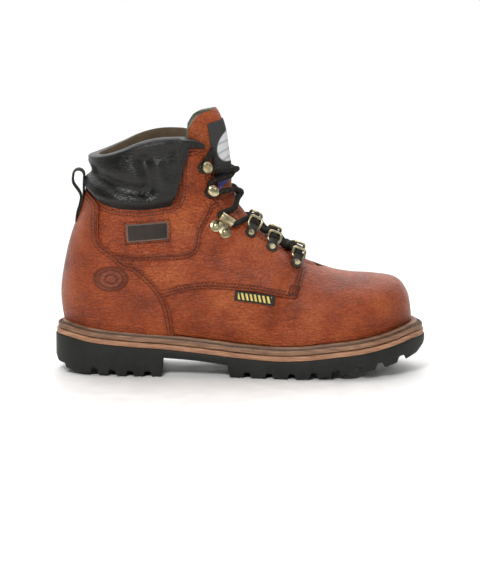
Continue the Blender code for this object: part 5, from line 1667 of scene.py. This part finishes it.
@dataclass
class Sole:
    """Outsole, midsole, welt and insole."""

    looks: Wardrobe
    gap: float = 0.0003
    welt_height: float = 0.0066
    midsole_height: float = 0.0042
    rib: float = 0.0022
    lug: float = 0.0045
    groove: float = 0.0058
    flare: float = 0.0013
    heel_pitch: float = 0.015
    ball_pitch: float = 0.0186
    breast: float = 0.0905
    arch_end: float = 0.147
    heel_under: tuple = (
        (0.0, 0.27), (0.01, 0.195), (0.026, 0.18), (0.03, 0.105), (0.048, 0.07), (0.08, 0.05),
        (0.135, 0.03), (0.19, 0.0), (0.3, 0.0)
    )
    ball_under: tuple = (
        (0.46, 0.03), (0.495, 0.018), (0.525, 0.0), (0.655, 0.0), (0.69, 0.03), (0.735, 0.066),
        (0.785, 0.105), (0.845, 0.17), (0.895, 0.23), (0.94, 0.31), (0.975, 0.4), (1.0, 0.56)
    )
    arch_under: tuple = ((0.288, 0.37), (0.38, 0.32), (0.475, 0.23))

    def welt_top(self, x: Array) -> Array:
        """Top of the welt."""
        return LAST.feather(x) - self.gap

    def midsole_top(self, x: Array) -> Array:
        """Top of the midsole band."""
        return self.welt_top(x) - self.welt_height - 3 * self.gap

    def outsole_top(self, x: Array) -> Array:
        """Top of the rubber."""
        return self.midsole_top(x) - self.midsole_height - self.gap

    def grooves(self) -> list:
        """Middle of each groove across the tread."""
        made = list(np.arange(self.breast - 0.0115, 2 * self.heel_pitch, -self.heel_pitch))
        start = self.arch_end + self.ball_pitch - self.groove / 2
        return made + list(np.arange(start, LAST.sole_length - self.groove, self.ball_pitch))

    def underside(self, x: Array, share: Array) -> Array:
        """Height of the rubber's underside, with its lugs."""
        tables = [np.array(t) for t in (self.heel_under, self.arch_under, self.ball_under)]
        heel, arch, ball = (
            LAST.heel_height * np.interp(x / LAST.sole_length, t[:, 0], t[:, 1]) for t in tables
        )
        low = np.where(x <= self.breast + 0.0004, heel, np.where(x >= self.arch_end - 0.0004, ball, arch))
        treaded = (x <= self.breast + 0.0004) | (x >= self.arch_end - 0.0004)
        roof = self.outsole_top(x) - 0.002
        raise_by = np.zeros(np.shape(x))
        outer = ease((np.abs(share - 0.5) - 0.19) / 0.02)
        for middle in self.grooves():
            gap = np.abs(x - middle)
            cut = ease((self.groove / 2 + self.flare - gap) / (2 * self.flare))
            raise_by = np.maximum(raise_by, self.lug * cut * outer)
            within = ease((0.0022 - np.abs(x - middle - 0.0075)) / 0.0008)
            raise_by = np.maximum(raise_by, 0.0028 * within * (1 - outer))
        track = ease((0.018 - np.abs(np.abs(share - 0.5) - 0.2)) / 0.012)
        raise_by = np.maximum(raise_by, 0.0028 * track)
        ends = ease((x - 0.02) / 0.004) * ease((LAST.sole_length - 0.002 - x) / 0.002)
        return np.minimum(low + raise_by * treaded * ends, roof)

    def stops(self, margin: Margin, count: int) -> Array:
        """Stops along a plan, closer together at heel and toe."""
        angle = np.linspace(0.0, math.pi, count)
        long = LAST.length + margin.heel + margin.toe
        return LAST.back - margin.heel + long * (1 - np.cos(angle)) / 2

    def build(self) -> None:
        """Builds the four layers and the welt's thread."""
        self.build_outsole()
        self.build_midsole()
        self.build_welt()
        self.build_insole()

    def build_outsole(self) -> None:
        """The lugged rubber, one closed skin of rings across the boot."""
        stops = list(self.stops(OUTSOLE_OUT, 300))
        for middle in self.grooves() + [self.breast - 0.0001, self.arch_end - 0.0001]:
            for part in (-1.0, -0.5, 0.0, 0.5, 1.0):
                offset = self.groove / 2 + part * self.flare
                stops += [middle - offset, middle + offset]
        stops = np.array(sorted(stops))
        stops = stops[np.concatenate([[True], np.diff(stops) > 0.00025])]
        if stops[-1] < LAST.sole_length - 1e-6:
            stops = np.concatenate([stops, [LAST.sole_length]])
        x = stops[(stops >= 0) & (stops <= LAST.sole_length)]
        lateral, medial = LAST.halves(x, OUTSOLE_OUT)
        top = self.outsole_top(x)
        columns = []
        across = np.linspace(0.0, 1.0, 63)
        wall = np.linspace(0.0, 1.0, 7)[:-1]
        low_left = self.underside(x, np.zeros(len(x)))
        low_right = self.underside(x, np.ones(len(x)))

        def inset(share: float) -> float:
            """How far the side wall leans in at a share of the way down."""
            return 0.0003 + 0.0011 * share**3 + 0.0005 * max(0.0, 0.2 - share) * 5

        def sides(share: float) -> tuple:
            """The y of both side walls at a share of the way down."""
            return np.minimum(inset(share), lateral) - lateral, medial - np.minimum(inset(share), medial)

        for share in wall:
            columns.append(np.stack([x, sides(share)[0], top + share * (low_left - top)], axis=1))
        left, right = sides(1.0)
        for share in across:
            y = left + share * (right - left)
            edge = min(share, 1 - share) * (lateral + medial)
            round_up = 0.001 * np.clip(1 - edge / 0.0012, 0.0, 1.0) ** 2
            columns.append(np.stack([x, y, self.underside(x, np.full(len(x), share)) + round_up], axis=1))
        for share in wall[::-1]:
            columns.append(np.stack([x, sides(share)[1], top + share * (low_right - top)], axis=1))
        left, right = sides(0.0)
        for share in np.linspace(1.0, 0.0, 9):
            columns.append(np.stack([x, left + share * (right - left), top], axis=1))
        points = np.stack(columns, axis=1)
        shape = joined([grid_mesh(points)])
        made = finish_piece("lugged_outsole", shape, [self.looks.rubber], ["outsole"])
        sharp_by_angle(made, 40)

    def build_midsole(self) -> None:
        """The midsole: a flat layer with a rounded edge."""
        x = self.stops(MIDSOLE_OUT, 190)
        lateral, medial = LAST.halves(x, MIDSOLE_OUT)
        top = self.midsole_top(x)
        turn = np.linspace(math.pi / 2, -math.pi / 2, 9)
        columns = []
        half = self.midsole_height / 2
        for side, wide in ((-1, lateral), (1, medial)):
            order = turn if side < 0 else turn[::-1]
            for angle in order:
                pull = np.minimum(0.0009 * (1 - math.cos(angle)), wide)
                z = top - half + half * math.copysign(abs(math.sin(angle)) ** 0.55, math.sin(angle))
                columns.append(np.stack([x, side * (wide - pull), z], axis=1))
        points = np.stack(columns + [columns[0]], axis=1)
        shape = joined([grid_mesh(points)])
        finish_piece("midsole_band", shape, [self.looks.midsole], ["midsole"])

    def ring(self, margin: Margin, angle: Array) -> Array:
        """Points round a plan, from the toe along the lateral side and back."""
        long = LAST.length + margin.heel + margin.toe
        x = LAST.back - margin.heel + long * (1 + np.cos(angle)) / 2
        lateral, medial = LAST.halves(x, margin)
        return np.stack([x, np.where(angle <= math.pi, -lateral, medial)], axis=1)

    def build_welt(self) -> None:
        """The welt with its rib, groove and thread."""
        angle = np.linspace(0.0, 2 * math.pi, 421)
        outer, inner = self.ring(WELT_OUT, angle), self.ring(WELT_IN, angle)
        profile = [
            (0.0, 0.0), (0.4, 0.0), (0.5, -0.0001), (0.6, 0.0001), (0.66, 0.0006), (0.69, 0.0014),
            (0.72, self.rib + 0.0002), (0.78, self.rib + 0.0005), (0.86, self.rib + 0.0006),
            (0.92, self.rib + 0.0003), (0.97, self.rib + 0.0003), (1.0, self.rib + 0.0008),
            (1.0, self.welt_height - 0.0006), (0.98, self.welt_height), (0.0, self.welt_height), (0.0, 0.0)
        ]
        columns = []
        for share, down in profile:
            plan = inner + share * (outer - inner)
            columns.append(np.stack([plan[:, 0], plan[:, 1], self.welt_top(plan[:, 0]) - down], axis=1))
        points = np.stack(columns, axis=1)
        shares = np.array([share for share, _ in profile])
        tone = ease((shares - 0.66) / 0.05) * ease((0.99 - shares) / 0.03)
        tone[len(profile) - 4 :] = 0.0
        tone = np.repeat(tone[None, :], len(points), axis=0)
        sheet = grid_mesh(points, None, {"groove": tone})
        made = finish_piece("stitched_welt", joined([sheet]), [self.looks.welt], ["welt"])
        sharp_by_angle(made, 50)
        shape = bmesh.new()
        plan = inner + 0.85 * (outer - inner)
        line = np.stack([plan[:, 0], plan[:, 1], self.welt_top(plan[:, 0]) - self.rib - 0.0004], axis=1)
        up = np.repeat(np.array([[0.0, 0.0, 1.0]]), len(line), axis=0)
        Stitching(pitch=0.0046, length=0.0036, radius=0.00062).lay(shape, line, up)
        finish_piece("welt_thread", shape, [self.looks.welt_thread])

    def build_insole(self) -> None:
        """The insole board under the foot."""
        x = self.stops(INSOLE_OUT, 90)
        lateral, medial = LAST.halves(x, INSOLE_OUT)
        top = LAST.feather(x) + 0.0022
        low = self.midsole_top(x) + 2 * self.gap
        columns = [np.stack([x, -lateral, low], axis=1)]
        for share in np.linspace(0.0, 1.0, 25):
            y = -lateral + share * (lateral + medial)
            cup = 0.001 * (2 * share - 1) ** 4
            columns.append(np.stack([x, y, top + cup - 0.001], axis=1))
        columns += [np.stack([x, medial, low], axis=1), columns[0]]
        points = np.stack(columns, axis=1)
        finish_piece(
            "insole_board", joined([grid_mesh(points)]), [self.looks.insole], ["insole"]
        )


@dataclass
class Trim:
    """The side patch, the side tag and the pull loop."""

    looks: Wardrobe
    upper: Upper

    def build(self) -> None:
        """Builds the three."""
        self.build_patch()
        self.build_tag()
        self.build_loop()

    def rectangle(self, marks: Sequence[Mark], inset: float, corner: float, segments: int = 6) -> Array:
        """A rounded rectangle on the side, as x and z, inset from its marks."""
        points = np.array([(float(LAST.along(m.at)), float(LAST.above(m.height))) for m in marks])
        middle = points.mean(axis=0)
        across = points[1] - points[0]
        across = across / np.linalg.norm(across)
        up = np.array([-across[1], across[0]])
        half_x = np.abs((points - middle) @ across).mean() - inset
        half_z = np.abs((points - middle) @ up).mean() - inset
        radius = max(corner - inset, 0.0004)
        outline = []
        for sx, sz, start in ((1, 1, 0.0), (-1, 1, 90.0), (-1, -1, 180.0), (1, -1, 270.0)):
            corner_at = (sx * (half_x - radius), sz * (half_z - radius))
            outline += [middle + x * across + z * up for x, z in spun(corner_at, radius, start, segments)]
        return np.array(outline)

    def plaque(
        self, name: str, outline: Array, lift: float, wall: float, look, slot: Slot,
        replaced: Sequence[str] = ()
    ) -> None:
        """A thin shaped piece laid on the lateral side, cut into smaller cells."""
        dense = []
        for first, second in zip(outline, np.roll(outline, -1, axis=0)):
            parts = max(1, int(np.linalg.norm(second - first) / 0.001))
            for share in np.linspace(0.0, 1.0, parts + 1)[:-1]:
                dense.append(first + share * (second - first))
        dense = np.array(dense)
        marked = self.upper.marked(dense, Side.LATERAL)
        coarse = self.upper.cell
        self.upper.cell = 0.002
        edge = self.upper.space(marked, Side.LATERAL, lift)
        mesh = self.upper.panel(marked, edge, Side.LATERAL, lift)
        self.upper.cell = coarse
        middle = dense.mean(axis=0)
        layer = mesh.uv_layers["pattern"]
        flat = np.empty(len(mesh.loops) * 2)
        layer.data.foreach_get("uv", flat)
        flat = flat.reshape(-1, 2) - middle
        angle = TAG_TILT if slot is Slot.TAG else 0.0
        turn = np.array([[math.cos(angle), -math.sin(angle)], [math.sin(angle), math.cos(angle)]])
        layer.data.foreach_set("uv", (flat @ turn.T).ravel())
        made = finish_piece(name, joined([mesh]), [look], replaced)
        face_along(made, from_core)
        thicken(made, wall)
        round_edges(made, 0.0003, 2)

    def build_patch(self) -> None:
        """The moulded patch: a grey frame round a dark field, with a stitched border."""
        lift = self.upper.ankle_lift
        outline = self.rectangle(PATCH, 0.0, 0.0012)
        self.plaque(
            "patch_frame", outline, lift + 0.001, 0.0011, self.looks.frame, Slot.PATCH, ["side_patch"]
        )
        inner = self.rectangle(PATCH, 0.0012, 0.002)
        self.plaque("patch_field", inner, lift + 0.0013, 0.0012, self.looks.patch, Slot.PATCH)
        shape = bmesh.new()
        around = self.rectangle(PATCH, -0.0017, 0.001)
        around = np.concatenate([around, around[:1]])
        points, normals = seam_run(through(around, 160), Side.LATERAL, lift)
        Stitching(pitch=0.0026, length=0.0021).lay(shape, points, normals)
        finish_piece("patch_thread", shape, [self.looks.thread])

    def build_tag(self) -> None:
        """The woven tag, caught under the quarter's edge."""
        outline = self.rectangle(TAG, 0.0, 0.0006, 3)
        self.plaque("barred_tag", outline, 0.0013, 0.0008, self.looks.tag, Slot.TAG, ["side_tag"])

    def build_loop(self) -> None:
        """The pull loop: webbing doubled at its foot and open above."""
        low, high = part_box("pull_loop")
        low, high = low - LAST.origin, high - LAST.origin
        wide = high.y - low.y
        thick = 0.0018
        foot_z, split_z = 0.127, 0.149
        top_x = low.x + 0.0076
        half = 0.0046
        rise = high.z - half - 0.0024
        foot_x = self.heel_back(foot_z) + 0.0012
        middle_x = self.heel_back(split_z) - 0.0019
        left = [
            (foot_x - 0.001, foot_z), (self.heel_back(0.1345) - 0.0019, 0.1345),
            (middle_x - 0.0011, split_z), (top_x - half * 0.97, (split_z + rise) / 2 + 0.002)
        ]
        right = [
            (top_x + half * 0.92, (split_z + rise) / 2 + 0.002), (middle_x + 0.001, split_z),
            (self.heel_back(0.1345) - 0.0001, 0.1345), (foot_x + 0.0009, foot_z)
        ]
        arc = []
        for k in range(7):
            angle = math.pi * k / 6
            arc.append((top_x - half * math.cos(angle), rise + half * math.sin(angle)))
        inner = through(np.array(left + arc + right), 120)
        ahead = np.gradient(inner, axis=0)
        ahead = ahead / np.linalg.norm(ahead, axis=1, keepdims=True)
        across = np.stack([-ahead[:, 1], ahead[:, 0]], axis=1)
        run = run_of(inner)
        ring = []
        for k in range(25):
            angle = 2 * math.pi * k / 24
            y = math.copysign(abs(math.cos(angle)) ** 0.45, math.cos(angle)) * wide / 2
            lift = math.copysign(abs(math.sin(angle)) ** 0.8, math.sin(angle)) * thick / 2
            spot = inner + across * lift
            ring.append(np.stack([spot[:, 0], np.full(len(spot), y), spot[:, 1]], axis=1))
        points = np.stack(ring, axis=1)
        uv = np.stack([points[..., 1], np.repeat(run[:, None], 25, axis=1)], axis=2)
        shape = joined([grid_mesh(points, uv)])
        close_holes(shape)
        finish_piece("pull_loop_webbing", shape, [self.looks.webbing], ["pull_loop"])

    def heel_back(self, z: float) -> float:
        """The x of the counter's back at a height, on the boot's middle."""
        v = solve(lambda at: LAST.ends(at)[1] - z, np.array(LAST.heel_row + 0.0), np.array(LAST.top_row))
        return float(LAST.ends(v)[0]) - self.upper.counter_lift


@dataclass
class Hardware:
    """Rings, locks and hooks on both facings."""

    looks: Wardrobe
    on_quarter: float = 0.0023
    on_ankle: float = 0.0012
    rivet: float = 0.0027
    wire: float = 0.0012
    ring_width: float = 0.0105
    ring_height: float = 0.0088
    tilt: float = math.radians(20)

    def build(self) -> None:
        """Builds each side's metal and its black washers."""
        for side in Side:
            bright, black = bmesh.new(), bmesh.new()
            for index, mark in enumerate(RINGS):
                self.add_ring(bright, black, side, mark, 0.0008 if index == 0 else 0.0)
            self.add_lock(bright, side)
            for mark in HOOKS:
                self.add_hook(bright, black, side, mark)
            name = side.value
            replaced = ["d_ring_{}_{}".format(name, k) for k in (1, 2, 3)]
            replaced += ["rivet_ring_{}_{}".format(name, k) for k in (1, 2, 3)]
            replaced += ["lock_" + name, "rivet_lock_{}_1".format(name), "rivet_lock_{}_2".format(name)]
            replaced += ["hook_{}_{}".format(name, k) for k in (1, 2)]
            made = finish_piece("brass_fittings_" + name, bright, [self.looks.brass], replaced)
            sharp_by_angle(made, 45)
            made = finish_piece("black_washers_" + name, black, [self.looks.enamel])
            sharp_by_angle(made, 45)

    def add_ring(self, bright: Shape, black: Shape, side: Side, mark: Mark, saddle: float) -> None:
        """A D-ring on its riveted clip."""
        spot = LAST.seat(mark, side, self.on_quarter + saddle)
        washer = disc(0.0004, 0.0046, 0.005, 0.0, -0.0006)
        dab(black, washer, spot, (0, 0, 0.0003))
        head = revolved(
            [
                (0.0, 0.0009), (0.0011, 0.001), (0.0016, 0.0016), (0.0024, 0.0017), (0.003, 0.0011),
                (0.0031, 0.0)
            ]
        )
        dab(bright, head, spot, (0, 0, 0.0008))
        offset = 1.6 * self.rivet + self.wire + 0.0003
        clip = bent_strip(
            [(-0.0034, 0.0), (0.0005, 0.0001), (0.003, 0.001), (0.0052, 0.003)], 0.0076, 0.0007
        )
        dab(black, clip, spot, (0, 0.002, 0.0006))
        half, high = self.ring_width / 2, self.ring_height
        corner = 0.0022
        line = []
        for cx, cy, start in (
            (half - corner, corner, -90), (half - corner, high - corner, 0),
            (-half + corner, high - corner, 90), (-half + corner, corner, 180)
        ):
            line += spun((cx, cy), corner, start, 5)
        lean = np.array(
            [(x, y * math.cos(self.tilt), y * math.sin(self.tilt) + self.wire + 0.0002) for x, y in line]
        )
        ring = tube_mesh(lean, self.wire, 10, closed=True)
        dab(bright, as_mesh(joined([ring])), spot, (0.0, offset, 0.0))

    def add_lock(self, bright: Shape, side: Side) -> None:
        """The lace lock: two riveted lobes and a rolled lip."""
        spot = LAST.seat(LOCK, side, self.on_quarter)
        lobe = disc(0.0007, 0.0046, 0.0051, 0.0003, -0.0004)
        head = revolved(
            [(0.0, 0.0018), (0.0012, 0.0017), (0.0022, 0.0012), (0.0028, 0.0004), (0.0028, 0.0)]
        )
        for x in (-1.75 * self.rivet, 1.75 * self.rivet):
            dab(bright, lobe, spot, (x, 0.0, 0.0004))
            dab(bright, head, spot, (x, 0.0, 0.001))
        neck = bent_strip([(-0.001, 0.0), (0.003, 0.0), (0.0058, 0.0004), (0.008, 0.0012)], 0.0078, 0.0009)
        dab(bright, neck, spot, (0, 0, 0.0005))
        roll = [(-0.0004, 0.0004), (0.0016, 0.0009), (0.0034, 0.0026), (0.0038, 0.005)]
        roll += [(0.0018, 0.0072), (-0.0012, 0.007), (-0.003, 0.005), (-0.0036, 0.0034)]
        lip = bent_strip(roll, 0.0122, 0.0009)
        dab(bright, lip, spot, (0, 0.0086, 0.0006))

    def add_hook(self, bright: Shape, black: Shape, side: Side, mark: Mark) -> None:
        """A speed hook: a round head leaning over its washer."""
        spot = LAST.seat(mark, side, self.on_ankle)
        washer = disc(0.0006, 0.005, 0.0054, 0.0002, -0.0004)
        dab(black, washer, spot, (0, -0.0006, 0.0001))
        neck = [
            (-0.003, 0.0004), (0.0012, 0.0006), (0.0036, 0.0018), (0.004, 0.004), (0.0026, 0.0056),
            (0.0006, 0.006)
        ]
        dab(bright, bent_strip(neck, 0.0058, 0.001), spot)
        head = revolved(
            [
                (0.0, 0.001), (0.002, 0.0009), (0.0036, 0.0005), (0.0044, -0.0002), (0.0046, -0.001),
                (0.0038, -0.001), (0.0, -0.0004)
            ]
        )
        lean = Matrix.Translation((0.0, 0.0004, 0.0062)) @ Matrix.Rotation(math.radians(8), 4, "X")
        lean = lean @ Matrix.Diagonal((1.25, 0.95, 1.0, 1.0))
        dab(bright, head, spot @ lean)


@dataclass
class Lacing:
    """One round lace through the rings, the locks and the hooks."""

    looks: Wardrobe
    radius: float = 0.0023

    def up_sign(self, mark: Mark, side: Side) -> float:
        """1 where local x at a seat points up the shaft, else -1."""
        seat = LAST.seat(mark, side, 0.0)
        s, v = LAST.find(mark, side)
        rise = Vector(LAST.surface(s, v + 0.2, side)[0] - LAST.surface(s, v - 0.2, side)[0])
        return 1.0 if seat.col[0].to_3d().dot(rise) > 0 else -1.0

    def local(self, mark: Mark, side: Side, lift: float, spots: Sequence[tuple]) -> list:
        """Points near a fitting, given as up, forward and out."""
        seat = LAST.seat(mark, side, lift)
        sign = self.up_sign(mark, side)
        return [tuple(seat @ Vector((up * sign, forward, out))) for up, forward, out in spots]

    def over(self, turn: float, v: float, lift: float) -> tuple:
        """A point over the tongue: turn is 1 less the share, signed by the side."""
        side = Side.LATERAL if turn < 0 else Side.MEDIAL
        point = LAST.point(np.array([1 - abs(turn)]), np.array([v]), side, lift)[0]
        return tuple(point)

    def crossing(self, low: Mark, high: Mark, side: Side, over: bool) -> list:
        """Points from a fitting on one side up to the next on the other."""
        other = side.other
        s0, v0 = LAST.find(low, side)
        s1, v1 = LAST.find(high, other)
        start, end = (1 - float(s0[0])) * side.sign, (1 - float(s1[0])) * other.sign
        made = []
        for f in (0.26, 0.38, 0.5, 0.62, 0.74):
            c = start * (1 - f) + end * f
            v = float(v0[0]) * (1 - f) + float(v1[0]) * f
            v -= 0.17 * (v - 6.5) * math.sin(math.pi * f)
            top = (2.35 if over else 0.95) * self.radius
            lift = self.radius + (top - self.radius) * math.sin(math.pi * (f - 0.26) / 0.48)
            made.append(self.over(c, v, lift))
        return made

    def strand(self, side: Side) -> Array:
        """The run of one end, from the lowest ring up to a top hook."""
        here = side
        marks = list(RINGS) + [LOCK] + list(HOOKS)
        points = [self.over(0.0, 8.05, 0.003), self.over(0.05 * here.sign, 8.05, 0.0031)]
        for index, mark in enumerate(marks):
            lift, spots = LACE_SPOTS[min(max(index - 2, 0), 2)]
            points += self.local(mark, here, lift, spots)
            if index == len(marks) - 1:
                points += self.local(mark, here, lift, LACE_END)
                break
            over = (index + (1 if side is Side.LATERAL else 0)) % 2 == 0
            points += self.crossing(mark, marks[index + 1], here, over)
            here = here.other
        return np.array(points)

    def build(self) -> None:
        """Builds the lace as one tube for each end."""
        replaced = ["lace_cross_{}".format(k) for k in range(1, 6)]
        for side in Side:
            centres = through(self.strand(side), 620)
            radius = np.full(len(centres), self.radius)
            radius[-6:] = self.radius * np.sqrt(1 - np.linspace(0.0, 0.98, 6) ** 2)
            shape = joined([tube_mesh(centres, radius, 12)])
            close_holes(shape)
            name = "lace_from_" + side.value
            finish_piece(
                name, shape, [self.looks.lace], replaced if side is Side.LATERAL else ()
            )


@dataclass
class Studio:
    """Camera, lights and floor."""

    distance: float = 2.6
    elevation: float = 10.0
    frame_width: float = 0.4085
    picture: tuple = (480, 587)
    sensor: float = 36.0
    target: tuple = (-0.0002, 0.0, 0.0645)

    def build(self) -> None:
        """Builds the studio."""
        self.add_camera()
        self.add_floor()
        self.add_lights()

    def add_camera(self) -> None:
        """A long lens at the photograph's angle."""
        lens = bpy.data.cameras.new("camera")
        lens.sensor_width = self.sensor
        lens.lens = self.sensor * self.distance / (self.frame_width * self.picture[1] / self.picture[0])
        lens.clip_start, lens.clip_end = 0.1, 20.0
        made = linked("camera", lens)
        lift = math.radians(self.elevation)
        away = Vector((0.0, -math.cos(lift), math.sin(lift)))
        made.location = Vector(self.target) + away * self.distance
        made.rotation_mode = "QUATERNION"
        made.rotation_quaternion = (-away).to_track_quat("-Z", "Y")
        bpy.context.scene.camera = made

    def add_floor(self) -> None:
        """A flat, pale paper floor."""
        shape = bmesh.new()
        bmesh.ops.create_grid(shape, x_segments=1, y_segments=1, size=1.6)
        mesh = as_mesh(shape, "floor")
        made = linked("studio_floor", mesh)
        finish = MouldedRubber(
            "white_paper_sweep", roughness=0.42, relief=0.02, colour="#F6F5F3", haze="#FBFAF8"
        ).make()
        mesh.materials.append(finish)

    def add_lights(self) -> None:
        """Soft boxes above and before the boot, in a white room."""
        world = bpy.data.worlds.new("white_room")
        world.use_nodes = True
        tree = world.node_tree
        ahead = node(tree, "ShaderNodeTexCoord").outputs["Generated"]
        ahead = node(tree, "ShaderNodeSeparateXYZ", links={"Vector": ahead}).outputs["Y"]
        wall = ramp(tree, ahead, [(0.0, 0.09), (0.25, 1.0)])
        tree.links.new(wall, tree.nodes["Background"].inputs["Color"])
        bpy.context.scene.world = world
        for name, place, size, power in (
            ("ceiling", (0.0, 1.0, 2.0), 3.2, 50.0), ("key", (-0.3, -1.25, 1.0), 0.4, 17.0),
            ("strip", (0.85, -0.8, 0.7), 0.3, 1.5)
        ):
            lamp = bpy.data.lights.new(name, "AREA")
            lamp.shape = "SQUARE"
            lamp.size = size
            lamp.energy = power
            made = linked(name, lamp)
            made.location = place
            aim = Vector((0.0, 0.0, 0.09)) - Vector(place)
            made.rotation_euler = aim.to_track_quat("-Z", "Y").to_euler()


def main() -> None:
    """Builds the boot's looks and its studio."""
    logging.basicConfig(level=logging.INFO, format="%(message)s")
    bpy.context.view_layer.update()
    Studio().build()
    looks = Wardrobe()
    upper = Upper(looks)
    for part in (
        Sole(looks), upper, Collar(looks), Tongue(looks), Trim(looks, upper), Hardware(looks), Lacing(looks)
    ):
        part.build()
        LOG.info("%s done", type(part).__name__)
    bpy.context.scene.view_settings.view_transform = "Standard"


if __name__ == "__main__":
    main()
